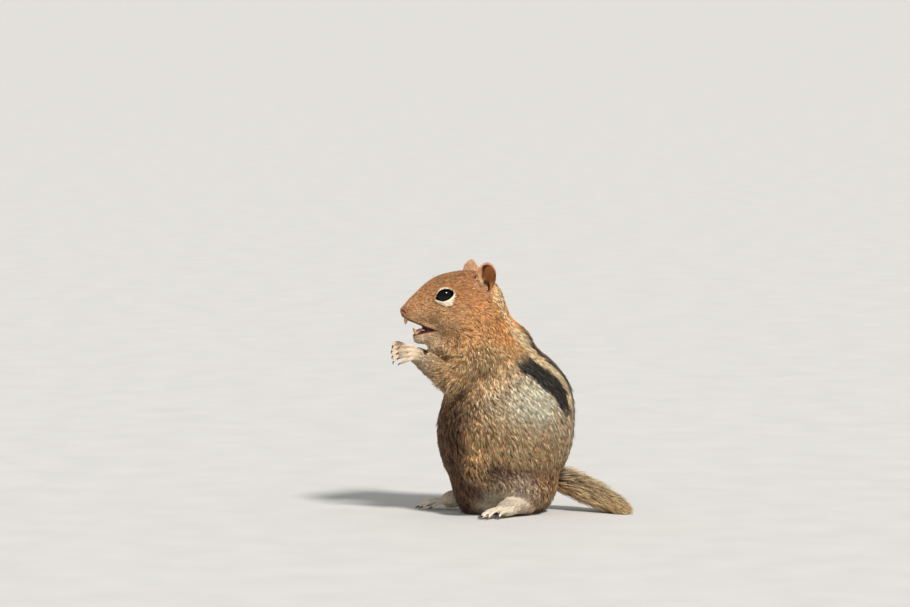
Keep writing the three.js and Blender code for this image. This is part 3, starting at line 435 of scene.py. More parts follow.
def tube(points, radii, sides=10, steps=12, across=(0, 1, 0), flat=1.0, cap=0.6):
    """A closed tube along a smooth path, as vertices and faces, with its section flattened across."""
    path = smooth_path(points, steps)
    along = unit(np.gradient(path, axis=0))
    wide = unit(np.array(across) - (along @ np.array(across, float))[:, None] * along)
    thick = np.cross(along, wide)
    flat = np.atleast_1d(flat)
    radius, flat = (np.interp(np.linspace(0, 1, steps), np.linspace(0, 1, len(sizes)), sizes)[:, None, None]
                    for sizes in (radii, flat))
    angle = np.linspace(0, 2 * math.pi, sides, endpoint=False)[None, :, None]
    ring = wide[:, None] * np.cos(angle) + thick[:, None] * np.sin(angle) * flat
    body = (path[:, None] + ring * radius).reshape(-1, 3)
    ends = (path[0] - along[0] * radii[0] * cap, path[-1] + along[-1] * radii[-1] * cap)
    vertices = np.vstack((body, ends))
    faces = []
    for r in range(steps - 1):
        for s in range(sides):
            a, b = r * sides + s, r * sides + (s + 1) % sides
            faces.append((a, b, b + sides, a + sides))
    for s in range(sides):
        following = (s + 1) % sides
        faces.append((len(body), following, s))
        faces.append((len(body) + 1, (steps - 1) * sides + s, (steps - 1) * sides + following))
    return vertices, faces


def ball(centre, radii, segments=20):
    """A closed ellipsoid as vertices and faces."""
    steps = segments // 2
    theta = np.linspace(0, math.pi, steps + 1)[1:-1, None, None]
    phi = np.linspace(0, 2 * math.pi, segments, endpoint=False)[None, :, None]
    across = np.sin(theta)
    ring = np.concatenate((across * np.cos(phi), across * np.sin(phi), np.cos(theta) + 0 * phi), 2)
    vertices = np.vstack((ring.reshape(-1, 3), ((0, 0, 1), (0, 0, -1)))) * radii + centre
    top, bottom = len(vertices) - 2, len(vertices) - 1
    last = (steps - 2) * segments
    faces = []
    for s in range(segments):
        following = (s + 1) % segments
        faces.append((top, s, following))
        faces.append((bottom, last + following, last + s))
        for r in range(steps - 2):
            a, b = r * segments + s, r * segments + following
            faces.append((a, a + segments, b + segments, b))
    return vertices, faces


def band_faces(rings, around, side):
    """The faces of a closed band of rings with so many points each, facing out on the side asked for."""
    faces = []
    for r in range(rings):
        for s in range(around):
            this, other = r * around, (r + 1) % rings * around
            following = (s + 1) % around
            a, b, c, d = this + s, this + following, other + following, other + s
            faces.append((a, b, c, d) if side > 0 else (a, d, c, b))
    return faces


def joined(shapes):
    """Several closed shapes as one list of vertices and one of faces."""
    vertices, faces, start = [], [], 0
    for points, polygons in shapes:
        vertices.append(points)
        faces += [tuple(index + start for index in polygon) for polygon in polygons]
        start += len(points)
    return np.vstack(vertices), faces


def in_frame(points):
    """Points of the animal's own axes in the frame, in metres."""
    return (np.asarray(points) + ORIGIN) * MM


def linked(name, data):
    """A new object in the scene, from its mesh, light or camera."""
    item = bpy.data.objects.new(name, data)
    bpy.context.scene.collection.objects.link(item)
    return item


def read_rows(items, key, width, kind=float):
    """One value of many items of a mesh, as rows of an array."""
    values = np.empty(len(items) * width, kind)
    items.foreach_get(key, values)
    return values.reshape(-1, width)


def add_piece(name, mesh, replaced, material):
    """A piece of the squirrel from its mesh: it rides with the body and stands for the named nodes."""
    piece = linked(name, mesh)
    mesh.materials.append(material)
    mesh.shade_smooth()
    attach(piece, "root")
    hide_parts(*replaced)


def shape_mesh(name, shape):
    """A mesh of one or more closed shapes given in millimetres."""
    vertices, faces = shape
    mesh = bpy.data.meshes.new(name)
    mesh.from_pydata(in_frame(vertices).tolist(), [], faces)
    mesh.update()
    return mesh


def add_shape(name, shape, replaced, material):
    """A piece of the squirrel from a closed shape given in millimetres."""
    add_piece(name, shape_mesh(name, shape), replaced, material)


def triangle_mesh(name, vertices, triangles):
    """A mesh of many triangles from arrays, in millimetres."""
    mesh = bpy.data.meshes.new(name)
    mesh.vertices.add(len(vertices))
    mesh.vertices.foreach_set("co", in_frame(vertices).astype(np.float32).ravel())
    mesh.loops.add(len(triangles) * 3)
    mesh.loops.foreach_set("vertex_index", triangles.astype(np.int32).ravel())
    mesh.polygons.add(len(triangles))
    mesh.polygons.foreach_set("loop_start", np.arange(0, len(triangles) * 3, 3, dtype=np.int32))
    mesh.update(calc_edges=True)
    return mesh


def set_colours(mesh, name, colours):
    """A colour for each vertex, read by the materials."""
    layer = mesh.attributes.new(name, "FLOAT_COLOR", "POINT")
    full = np.ones((len(colours), 4), np.float32)
    full[:, :3] = colours
    layer.data.foreach_set("color", full.ravel())


# Materials


def new_material(name):
    """An empty node material with a Principled shader, its nodes and its links."""
    material = bpy.data.materials.new(name)
    material.use_nodes = True
    nodes, links = material.node_tree.nodes, material.node_tree.links
    return material, nodes, links, nodes["Principled BSDF"]


def noise(nodes, links, scale, detail=4.0, stretch=(1, 1, 1)):
    """Noise fixed to the object, with scale in features for each metre, stretched along the axes."""
    place = nodes.new("ShaderNodeTexCoord")
    mapping = nodes.new("ShaderNodeMapping")
    mapping.inputs["Scale"].default_value = stretch
    texture = nodes.new("ShaderNodeTexNoise")
    texture.inputs["Scale"].default_value = scale
    texture.inputs["Detail"].default_value = detail
    links.new(place.outputs["Object"], mapping.inputs["Vector"])
    links.new(mapping.outputs["Vector"], texture.inputs["Vector"])
    return texture


def between(nodes, links, factor, low, high):
    """A value socket spread from low to high by a factor socket that runs from 0 to 1."""
    spread = nodes.new("ShaderNodeMapRange")
    spread.inputs["To Min"].default_value = low
    spread.inputs["To Max"].default_value = high
    links.new(factor, spread.inputs["Value"])
    return spread.outputs["Result"]


def bump(nodes, links, shader, height, strength, distance):
    """Fine relief on the surface from a height socket."""
    node = nodes.new("ShaderNodeBump")
    node.inputs["Strength"].default_value = strength
    node.inputs["Distance"].default_value = distance
    links.new(height, node.inputs["Height"])
    links.new(node.outputs["Normal"], shader.inputs["Normal"])


def marked_colour(nodes, links, shader, texture, low, high):
    """The colour marked on the vertices, made lighter and darker by a texture."""
    marks = nodes.new("ShaderNodeAttribute")
    marks.attribute_name = "markings"
    tint = nodes.new("ShaderNodeHueSaturation")
    links.new(marks.outputs["Color"], tint.inputs["Color"])
    links.new(between(nodes, links, texture.outputs["Fac"], low, high), tint.inputs["Value"])
    links.new(tint.outputs["Color"], shader.inputs["Base Color"])


def coat_material():
    """Hair: the marked colour with a soft sheen."""
    material, nodes, links, shader = new_material("squirrel_coat")
    texture = noise(nodes, links, 260, 3)
    marked_colour(nodes, links, shader, texture, 0.86, 1.16)
    shader.inputs["Roughness"].default_value = 0.52
    shader.inputs["Specular IOR Level"].default_value = 0.35
    shader.inputs["Sheen Weight"].default_value = 0.12
    shader.inputs["Sheen Roughness"].default_value = 0.4
    return material


def skin_material():
    """Skin and the shortest down under the coat, with the same markings and fine relief."""
    material, nodes, links, shader = new_material("squirrel_skin")
    texture = noise(nodes, links, 1400, 5)
    marked_colour(nodes, links, shader, texture, 0.75, 1.2)
    links.new(between(nodes, links, texture.outputs["Fac"], 0.5, 0.8), shader.inputs["Roughness"])
    shader.inputs["Specular IOR Level"].default_value = 0.2
    bump(nodes, links, shader, texture.outputs["Fac"], 0.5, 0.0003)
    return material


def grained_material(name, dark, light, rough, scale, coat=0.0, relief=0.2, stretch=(1, 1, 1)):
    """A hard or moist surface whose colour runs between two tones in a fine grain."""
    material, nodes, links, shader = new_material(name)
    texture = noise(nodes, links, scale, 4, stretch)
    tones = nodes.new("ShaderNodeValToRGB")
    tones.color_ramp.elements[0].color = (*dark, 1)
    tones.color_ramp.elements[0].position = 0.3
    tones.color_ramp.elements[1].color = (*light, 1)
    tones.color_ramp.elements[1].position = 0.7
    links.new(texture.outputs["Fac"], tones.inputs["Fac"])
    links.new(tones.outputs["Color"], shader.inputs["Base Color"])
    roughness = between(nodes, links, texture.outputs["Fac"], rough * 0.8, rough * 1.2)
    links.new(roughness, shader.inputs["Roughness"])
    shader.inputs["Coat Weight"].default_value = coat
    shader.inputs["Coat Roughness"].default_value = 0.03
    bump(nodes, links, shader, texture.outputs["Fac"], relief, 0.0001)
    return material


# The eye's and the ear's own axes


def eye_axes(side):
    """The eye's centre and its axes: outward, forward and up."""
    outward = unit(on_side(EYE_AXIS, side))
    forward = np.array((-1, 0, -0.2))
    forward = unit(forward - outward * (forward @ outward))
    up = np.cross(outward, forward)
    return on_side(EYE_CENTRE, side), outward, forward, up * np.sign(up[2])


def eye_outline(angle, growth=0.0):
    """The outline of the lids' opening, forward and up from the eye's centre, with a sharp front corner."""
    cos, sin = np.cos(angle), np.sin(angle)
    a = (EYE_OPENING[0] + growth) * cos
    b = (EYE_OPENING[1] + growth) * sin * narrowing(cos)
    return a * math.cos(EYE_TILT) + b * math.sin(EYE_TILT), b * math.cos(EYE_TILT) - a * math.sin(EYE_TILT)


def narrowing(along):
    """How much lower the eye's opening is at a place along it, from -1 at the back to 1 at the front."""
    return (1 - EYE_NARROWING * along**2) * (1 - EYE_CORNER * ramp(0.3, 1, along))


def outside_lids(points, side):
    """How far points lie outside the lids' opening, how far up and how far forward, in the eye's axes."""
    centre, outward, forward, up = eye_axes(side)
    offset = points - centre
    a, b = offset @ forward, offset @ up
    along = a * math.cos(EYE_TILT) - b * math.sin(EYE_TILT)
    across = b * math.cos(EYE_TILT) + a * math.sin(EYE_TILT)
    low = EYE_OPENING[1] * narrowing(np.clip(along / EYE_OPENING[0], -1, 1))
    share = np.hypot(along / EYE_OPENING[0], across / low)
    away = np.hypot(a, b) * (1 - 1 / np.maximum(share, 1e-3))
    return np.where(offset @ outward > 0, away, 30), across, along


def ear_axes(side):
    """The ear's root and its axes: upward, the way its bowl faces, and backward."""
    upward = unit(on_side(EAR_UPWARD, side))
    facing = unit(on_side(EAR_FACING, side))
    facing = unit(facing - upward * (facing @ upward))
    backward = np.cross(upward, facing)
    return on_side(EAR_ROOT, side), upward, facing, backward * np.sign(backward[0])


def ear_place(side, share, angle, inward=0.0):
    """A point of the ear's bowl, a share of the way from its middle to its rim at an angle, pushed inward."""
    root, upward, facing, backward = ear_axes(side)
    across = EAR_WIDTH / 2 * (0.88 + 0.12 * math.sin(angle)) * math.cos(angle)
    high = EAR_HEIGHT / 2 * math.sin(angle)
    bowl = EAR_DEPTH * (1 - share**2) - 1.2 * abs(math.cos(angle)) * share
    raised = upward * (EAR_HEIGHT / 2 + high * share)
    return root + backward * across * share + raised - facing * (bowl + inward)


def in_ear(points, side):
    """How far out in the ear's bowl points lie, as a share of the way to its rim, back, up and behind it."""
    root, upward, facing, backward = ear_axes(side)
    offset = points - root - upward * EAR_HEIGHT / 2
    a, b = offset @ backward / (EAR_WIDTH / 2), offset @ upward / (EAR_HEIGHT / 2)
    share = np.hypot(a, b)
    behind = -offset @ facing - EAR_DEPTH * np.maximum(1 - share**2, 0)
    return np.where((behind > -2.4) & (behind < 1.9), share, 9), a, b, behind


# The skin


def flesh():
    """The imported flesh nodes, a little swollen so that the thin cuts between them close."""
    shapes = []
    for name in KEPT_FLESH:
        swell = EAR_SWELL if name.startswith("ear") else SEAM_SWELL
        work = bmesh.new()
        work.from_mesh(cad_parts[name].data)
        bmesh.ops.remove_doubles(work, verts=work.verts, dist=0.01 * MM)
        work.normal_update()
        points = np.array([v.co for v in work.verts]) / MM - ORIGIN
        normals = np.array([v.normal for v in work.verts])
        shapes.append((points + normals * swell, [tuple(v.index for v in face.verts) for face in work.faces]))
        work.free()
    return shapes


def palm_end(side):
    """Where the palm of a hand ends and its fingers begin."""
    return on_side(WRIST, side) + (-5.2, side * 0.6, 0.4)


def finger_joints(side):
    """The joints of each finger of a hand, from its base to its tip, and the tip of its claw."""
    for finger in range(4):
        spread = 1.5 - finger
        length = FINGER_LENGTH * (1 - 0.07 * abs(spread - 0.4))
        base = palm_end(side) + (1.8, 0, spread * FINGER_SPACING)
        joints = [base + (-length * reach, side * out, spread * wider + rise)
                  for reach, out, wider, rise in FINGER_CURL]
        yield base, *joints, joints[-1] + (-0.9, side * -2, -1.5)


def hand_shapes(side):
    """A hand: its narrow palm, four curled fingers and the stub of its thumb."""
    start, end = on_side(WRIST, side) + (1, 0, -1), palm_end(side)
    shapes = [tube((start, (start + end) / 2, end), PALM_RADII, 16, 14, across=(0.2, 0, 1), flat=PALM_FLAT)]
    for *joints, _ in finger_joints(side):
        shapes.append(tube(joints, FINGER_RADII, 10, 20))
    thumb = end + (1.8, side * -1.6, 3.2)
    shapes.append(tube((thumb, thumb + (-1.6, side * -1.3, 0.7)), THUMB_RADII, 10, 8))
    return shapes


def foot_point(side, along, sideways, height):
    """A point of a hind foot: a share of its length from the heel, a distance to the side, and a height."""
    heel, toes = (np.array(end, float) for end in FEET[side])
    heading = toes - heel
    across = unit(np.array((-heading[1], heading[0])))
    return np.array((*(heel + heading * along + across * sideways), height))


def toe_joints(side):
    """The joints of each toe of a foot, from its base to its tip, and the tip of its claw."""
    heading = unit(foot_point(side, 1, 0, 0) - foot_point(side, 0, 0, 0))
    for toe in range(5):
        spread = toe - 2
        reach = 1 - 0.045 * spread**2
        base = foot_point(side, 0.52, spread * TOE_SPACING * 0.75, 5.2 - 0.3 * spread**2)
        knuckle = foot_point(side, 0.55 + (reach - 0.55) * 0.5, spread * TOE_SPACING, 5.1 - 0.3 * spread**2)
        tip = foot_point(side, reach, spread * TOE_SPACING * 1.15, 1.3)
        yield base, knuckle, tip, tip + heading * CLAW_LENGTH + (0, 0, -0.9)


def foot_shapes(side):
    """A hind foot: its arched sole and five long toes."""
    across = foot_point(side, 0, 1, 0) - foot_point(side, 0, 0, 0)
    arch = [foot_point(side, share, 0, height) for share, height, _ in FOOT_ARCH]
    radii = [radius for _, _, radius in FOOT_ARCH]
    shapes = [tube(arch, radii, 18, 28, across=across, flat=FOOT_FLAT)]
    for base, knuckle, tip, _ in toe_joints(side):
        bend = knuckle + (tip - knuckle) * 0.6 + (0, 0, 0.7)
        shapes.append(tube((base, knuckle, bend, tip), TOE_RADII, 12, 20))
    return shapes


def lid_band(side):
    """The lids: a band of a shell round the eyeball, from the edge of the opening out into the head."""
    centre, outward, forward, up = eye_axes(side)
    count = 64
    angle = np.linspace(0, 2 * math.pi, count, endpoint=False)
    rings = []
    for growth, radius in LID_RINGS:
        a, b = eye_outline(angle, growth)
        rings.append(np.stack((a, b, np.sqrt(np.maximum(radius**2 - a**2 - b**2, 0))), 1))
    points = centre + np.vstack(rings) @ np.array((forward, up, outward))
    return points, band_faces(len(LID_RINGS), count, side)


def ear_folds(side):
    """Rim, inner ridge and the two small flaps of an ear."""
    shapes = []
    for path, inward, radii, steps in EAR_FOLDS:
        points = [ear_place(side, share, math.radians(angle), inward) for share, angle in path]
        shapes.append(tube(points, radii, 8, steps))
    return shapes


def tail_core():
    """The tail's own flesh, under its long hair."""
    return tube(TAIL_PATH, np.array(TAIL_TAPER) * TAIL_CORE_RADIUS, 14, 40, across=(0.5, 0.86, 0))


def remeshed(shapes, voxel):
    """One closed surface round all the shapes."""
    mesh = shape_mesh("squirrel_flesh", joined(shapes))
    body = linked("squirrel_flesh", mesh)
    remesh = body.modifiers.new("one_surface", "REMESH")
    remesh.mode = "VOXEL"
    remesh.voxel_size = voxel * MM
    graph = bpy.context.evaluated_depsgraph_get()
    surface = bpy.data.meshes.new_from_object(body.evaluated_get(graph))
    bpy.data.objects.remove(body)
    bpy.data.meshes.remove(mesh)
    return surface


def mesh_arrays(mesh):
    """A mesh's vertices in millimetres in the animal's axes, with its normals and edges."""
    points = read_rows(mesh.vertices, "co", 3) / MM - ORIGIN
    normals = read_rows(mesh.vertices, "normal", 3)
    return points, normals, read_rows(mesh.edges, "vertices", 2, np.int32)


def move_vertices(mesh, points):
    """Puts a mesh's vertices at points given in millimetres."""
    mesh.vertices.foreach_set("co", in_frame(points).astype(np.float32).ravel())
    mesh.update()


def tree_of(points):
    """A tree that finds the nearest of many points."""
    tree = KDTree(len(points))
    for i, point in enumerate(points):
        tree.insert(point, i)
    tree.balance()
    return tree


def relaxed(values, edges, passes, share):
    """Values at the vertices, each drawn towards the middle of its neighbours by its own share, in passes."""
    count = len(values)
    degree = np.bincount(edges.ravel(), minlength=count)[:, None]
    first, second = edges[:, 0], edges[:, 1]
    share = np.asarray(share).reshape(-1, 1) * 0.5
    for _ in range(passes):
        total = np.empty_like(values)
        for axis in range(values.shape[1]):
            total[:, axis] = np.bincount(first, values[second, axis], count)
            total[:, axis] += np.bincount(second, values[first, axis], count)
        values = values + share * (total / degree - values)
    return values


def relaxed_line(points, passes=4):
    """A path with its inner points drawn between their neighbours, pass after pass."""
    for _ in range(passes):
        points = np.vstack((points[:1], (points[:-2] + 2 * points[1:-1] + points[2:]) / 4, points[-1:]))
    return points


def all_guides():
    """The guides of both sides, and those of the feet, as arrays and lists."""
    rows = []
    for part, place, lie, length, colour in GUIDES:
        for side in (-1, 1) if place[1] else (1,):
            rows.append((part, on_side(place, side), on_side(lie, side), length, colour))
    for side in SIDES:
        heading = foot_point(side, 1, 0, 0) - foot_point(side, 0, 0, 0)
        for along, height, length, colour in FOOT_GUIDES:
            rows.append(("foot", foot_point(side, along, 0, height), heading + (0, 0, -8), length, colour))
    parts, places, lies, lengths, colours = zip(*rows)
    return parts, np.array(places), unit(np.array(lies)), np.array(lengths), colours


def guide_weights(points, places):
    """How much each guide counts at each point."""
    square = ((points[:, None, :] - places[None, :, :]) ** 2).sum(2) / (2 * GUIDE_REACH**2)
    weights = np.exp(square.min(1, keepdims=True) - square)
    return weights / weights.sum(1, keepdims=True)


# Markings

BODY_AXIS = ((16, 8), (9, 46), (3, 68), (-5, 86), (-14, 101), (-22, 113))

# Stripes: the distance from the pale one round the body, the half width, the colour, and the shares of the
# way up the body where each begins, is full, is full for the last time and ends

PALE_STRIPE_ARC = ((0.2, 0.42, 0.62, 0.85), (12, 15, 16, 12))
STRIPES = (
    (-5.0, 2.7, "dark_back", (0.16, 0.28, 0.72, 0.83)),
    (7.6, 5.2, "black", (0.33, 0.44, 0.66, 0.73)),
    # The nape band: pale hair brightened as painted rim light along the back of the neck
    (0.0, 2.4, "nape", (0.78, 0.86, 1.1, 1.2)),
    (0.0, 2.7, "cream", (0.3, 0.46, 0.78, 0.86)),
)
STRIPE_EDGE = 0.8
STRIPE_STRENGTH = 0.97
STRIPES_END_AT_HEAD = (-13, -8)

# A pale patch on the upper flank, partly paler hair and partly painted sunlight, a pale patch behind the ear,
# and how far they reach

SUNLIT_PALE_PATCH = (9.5, 26, 62)
SUNLIT_PALE_PATCH_REACH = (19, 15, 11)
BACK_OF_EAR_PATCH = (-5, 10, 121)
BACK_OF_EAR_REACH = 6


def round_the_body(points):
    """How far up the body points lie, 0 at the rump and 1 at the head, and their arc from the spine."""
    axis = np.array(BODY_AXIS, float)
    lengths = np.linalg.norm(np.diff(axis, axis=0), axis=1)
    starts = np.concatenate(((0,), np.cumsum(lengths)))
    best = np.full(len(points), 1e9)
    up = np.zeros(len(points))
    dorsal = np.zeros(len(points))
    flat = points[:, (0, 2)]
    for i, length in enumerate(lengths):
        heading = (axis[i + 1] - axis[i]) / length
        offset = flat - axis[i]
        share = np.clip(offset @ heading, 0, length)
        gap = offset - share[:, None] * heading
        distance = np.linalg.norm(gap, axis=1)
        nearer = distance < best
        best = np.where(nearer, distance, best)
        up = np.where(nearer, (starts[i] + share) / starts[-1], up)
        dorsal = np.where(nearer, offset @ np.array((heading[1], -heading[0])), dorsal)
    arc = np.arctan2(np.abs(points[:, 1]), dorsal) * np.hypot(points[:, 1], dorsal)
    return up, arc


def stripe(arc, middle, half_width, soft):
    """1 in a band along the body and 0 away from it."""
    return ramp(half_width + soft, half_width - soft, np.abs(arc - middle))


def lip_heights(points):
    """How far points lie above the line of the upper lip and below the line of the lower one."""
    upper = np.array(UPPER_LIP)[::-1]
    lower = np.array(LOWER_LIP)[::-1]
    x, z = points[:, 0], points[:, 2]
    return z - np.interp(x, upper[:, 0], upper[:, 1]), np.interp(x, lower[:, 0], lower[:, 1]) - z


def nostril_distance(points):
    """How far points lie from the nearer nostril."""
    path = SKIN.get("nostrils", smooth_path(NOSTRIL, 9))
    return np.minimum(distance_to_path(points, path)[0], distance_to_path(points, path * (1, -1, 1))[0])


def in_mouth(points):
    """How far points lie outside the open mouth, below nought within it."""
    above, below = lip_heights(points)
    return np.maximum.reduce((above, below, (points[:, 0] - MOUTH_CORNER[0]) * 0.7))


def distance_to_path(points, path):
    """How far points lie from a path given by its points, and the share of the way along it."""
    square = ((points[:, None, :] - path[None]) ** 2).sum(2)
    nearest = square.argmin(1)
    return np.sqrt(square[np.arange(len(points)), nearest]), nearest / (len(path) - 1)


def folds(points):
    """How deep each point lies in the folds of the body, and how much painted shade darkens the coat there."""
    depth, painted_shade = np.zeros(len(points)), np.zeros(len(points))
    for name, side in SIDES.items():
        near = points[:, 1] * side > 8
        for path, deepest, width, darker in FOLDS:
            line = smooth_path([on_side(point, side) + (FOLD_SHIFT[name], 0, 0) for point in path], 30)
            away, share = distance_to_path(points[near], line)
            strength = np.exp(-(away / width) ** 2 / 2) * ramp(0, 0.25, share) * ramp(1, 0.75, share)
            depth[near] += deepest * strength
            painted_shade[near] = np.maximum(painted_shade[near], darker * strength)
    return depth, painted_shade


def swellings(points):
    """How far the skin stands out at each point."""
    height = np.zeros(len(points))
    for place, reach, high in SWELLINGS:
        for side in (-1, 1):
            square = ((points - on_side(place, side)) ** 2).sum(1)
            height += high * np.exp(-square / (2 * reach**2))
    return height


def head_folds(points, values):
    """Relief of the skin of the head: folds round the eyes, the nostrils and the cleft under the nose."""
    height = np.zeros(len(points))
    for side in (-1, 1):
        away, across, _ = outside_lids(points, side)
        upper = ramp(-0.5, 1.5, across)
        height -= 0.35 * np.exp(-((away - 2.1) / 0.5) ** 2) * upper
        height -= 0.35 * np.exp(-((away - 3.4) / 0.8) ** 2) * ramp(-0.3, -2, across)
        height += 0.25 * np.exp(-((away - 1.0) / 0.6) ** 2)
    height -= 0.8 * ramp(0.8, 0.1, values["nostril"])
    x, y, z = points.T
    cleft = np.exp(-(y / 0.3) ** 2) * ramp(-53.5, -55.5, x) * ramp(111, 110, z)
    return height - 0.45 * cleft


def paint(tones, colour, share):
    """All three colours of a hair painted over by one colour, or by its own three, by a share."""
    for i in range(3):
        one = colour[i] if isinstance(colour[0], tuple) else colour
        tones[:, i] = blend(tones[:, i], one, share)


def near_mark(points, mark, reach):
    """1 at a mark on either side of the body, fading out over its reach."""
    offset = (points * (1, 0, 1) + (0, 1, 0) * np.abs(points[:, 1:2]) - mark) / reach
    return np.exp(-(offset**2).sum(1))


def guided_fields(points):
    """The fields of points as the guides near them give them, with the pale patches; the one on the flank is
    partly painted sunlight.
    """
    parts, places, lies, lengths, colours = all_guides()
    weights = guide_weights(points, places)
    values = {
        "parts": np.stack([weights @ (np.array(parts) == name) for name in PART_NAMES], 1),
        "lie": weights @ lies,
        "length": weights @ lengths,
        "tones": np.stack([weights @ np.array([COATS[name][i] for name in colours]) for i in range(3)], 1),
        "grizzle": weights @ np.array([COATS[name][3] for name in colours]),
        "bare": np.zeros(len(points)),
    }
    # The pale patch of the upper flank: paler hair with painted sunlight on it
    patch = near_mark(points, SUNLIT_PALE_PATCH, SUNLIT_PALE_PATCH_REACH)
    paint(values["tones"], COATS["pale_sunlit_flank"][:3], patch)
    values["grizzle"] = values["grizzle"] * (1 - 0.85 * patch)
    paint(values["tones"], COATS["nape"][:3], near_mark(points, BACK_OF_EAR_PATCH, BACK_OF_EAR_REACH))
    return values


def paint_stripes(values, points):
    """The stripes of the back, which fade out on the head and the limbs."""
    x, _, z = points.T
    up, arc = round_the_body(points)
    arc = arc + 0.4 * np.sin(z * 0.31 + x * 0.1) + 0.25 * np.sin(z * 0.83 + 1)
    off_body = [PART_NAMES.index(name) for name in ("face", "arm", "hand", "leg", "foot")]
    body = 1 - values["parts"][:, off_body].sum(1)
    middle = np.interp(up, *PALE_STRIPE_ARC)
    for beside, half, colour, (start, full, fade, end) in STRIPES:
        reach = ramp(start, full, up) * ramp(end, fade, up) * np.clip(body, 0, 1)
        reach = reach * ramp(*STRIPES_END_AT_HEAD, x)
        band = stripe(arc, middle + beside, half, STRIPE_EDGE)
        paint(values["tones"], COATS[colour][:3], band * reach * STRIPE_STRENGTH)
        values["grizzle"] = values["grizzle"] * (1 - band * reach)


def paint_eye_ring(values, points, side):
    """The pale ring round an eye, wide below it, with painted shade in the crease under it and bare dark rims.
    """
    away, across, along = outside_lids(points, side)
    below, front, back = ramp(0, -2.8, across), ramp(2, 4.5, along), ramp(-1.5, -4.5, along)
    wide = EYE_RING_WIDTH + EYE_RING_BELOW * below * (1 - 0.5 * back)
    wide = wide - EYE_RING_FRONT * front - EYE_RING_BACK * back
    ring = ramp(wide + 0.5, wide - 0.2, away)
    paint(values["tones"], COATS["eye_ring"][:3], ring)
    values["grizzle"] = values["grizzle"] * (1 - ring)
    # Painted shade in the crease under the pale ring
    crease_shade = np.exp(-(((away - wide - 0.9) / 0.6) ** 2)) * ramp(-0.3, -2, across)
    values["tones"] = values["tones"] * (1 - 0.42 * crease_shade)[:, None, None]
    values["length"] = values["length"] * (1 - 0.6 * ramp(3.0, 0.6, away))
    paint(values["tones"], EYE_RIM, ramp(0.32, 0.12, away))
    values["bare"] = np.maximum(values["bare"], ramp(0.45, 0.2, away))


def make_ear_part(values, points, side):
    """Gives the points of an ear to its own part, with its colour and its short upright hair."""
    share = in_ear(points, side)[0]
    root, upward, facing, _ = ear_axes(side)
    is_ear = ramp(1.12, 1.0, share) * ramp(0.5, 2.5, (points - root) @ upward)
    paint(values["tones"], COATS["ear"][:3], is_ear)
    values["parts"] = values["parts"] * (1 - is_ear)[:, None]
    values["parts"][:, PART_NAMES.index("ear")] += is_ear
    values["length"] = values["length"] * (1 - is_ear) + EAR_HAIR * is_ear
    values["lie"] = blend(values["lie"], unit(upward + facing * 0.2), is_ear)


def paint_bare_skin(values, points):
    """The bare fingers, lips, mouth and nose, and the short hair round the mouth."""
    tones = values["tones"]
    fingers = ramp(*BARE_FINGERS, points[:, 0]) * ramp(*ABOVE_FINGERS, points[:, 2])
    paint(tones, FINGER_SKIN, fingers)
    outside = in_mouth(points)
    mouth = ramp(0.4, 0.1, outside)
    paint(tones, LIPS, mouth)
    # Painted shade inside the open mouth
    paint(tones, MOUTH_SHADE, ramp(0, -0.5, outside))
    nostril = nostril_distance(points)
    pad = np.maximum(ramp(2.3, 1.7, np.linalg.norm(points - NOSE_TIP, axis=1)), ramp(0.9, 0.6, nostril))
    paint(tones, NOSE_PAD, pad)
    # Painted shade in the nostrils' openings
    paint(tones, NOSTRIL_SHADE, ramp(0.6, 0.25, nostril))
    values["length"] = values["length"] * (1 - 0.5 * ramp(2.0, 0.5, outside))
    values["bare"] = np.maximum.reduce((values["bare"], mouth, pad, fingers))
    values["nostril"] = nostril


def fields(points):
    """For each point: the parts' weights, the lie, the hair's length, its colours and how bare it is."""
    values = guided_fields(points)
    paint_stripes(values, points)
    # Painted shade in the folds of the body darkens the coat
    values["tones"] = values["tones"] * (1 - folds(points)[1])[:, None, None]
    for side in SIDES.values():
        paint_eye_ring(values, points, side)
        make_ear_part(values, points, side)
    paint_bare_skin(values, points)
    return values


# Marks inside the ear: a path back and up from its middle, as shares of its size, a reach and a colour

EAR_MARKS = (
    (((-0.45, -0.25), (-0.35, -0.45), (-0.2, -0.6)), 0.2, linear(214, 184, 146)),
    # This dark mark is painted shade in the ear's canal
    (((-0.12, -0.27), (0.2, -0.38), (0.3, -0.62)), 0.25, linear(40, 21, 11)),
    (((-0.15, -0.8), (0.0, -0.84)), 0.14, linear(84, 48, 28)),
)


def paint_ears(values, points, normals):
    """The bare inside of the ears: orange-brown, with painted shadow under the rim at the top and painted shade
    in the canal, and a paler rim.
    """
    for side in SIDES.values():
        share, back, high, behind = in_ear(points, side)
        root, upward, facing, _ = ear_axes(side)
        inside = ramp(1.1, 1.0, share) * ramp(-0.1, 0.3, normals @ facing)
        inside = inside * ramp(0.5, 2, (points - root) @ upward) * ramp(1.1, 0.6, behind)
        bowl = inside * ramp(0.93, 0.84, share)
        # Painted shadow in the bowl under the rim at the top of the ear
        rim_shadow = ramp(0.42, 0.66, np.hypot(back - 0.2, high - 0.3) / 0.95) * ramp(-0.3, 0.1, high)
        inner = blend(np.array(EAR_BOWL)[None], EAR_RIM_SHADOW, rim_shadow)
        inner = blend(inner, EAR_EDGE, ramp(-0.35, -0.55, back))
        place = np.column_stack((back, high, np.zeros(len(back))))
        for path, reach, tone in EAR_MARKS:
            away = distance_to_path(place, smooth_path([(*point, 0) for point in path], 12))[0]
            inner = blend(inner, tone, ramp(reach, reach * 0.3, away))
        paint(values["tones"], EAR_RIM, inside)
        paint(values["tones"], inner, bowl)
        values["bare"] = np.maximum(values["bare"], bowl)


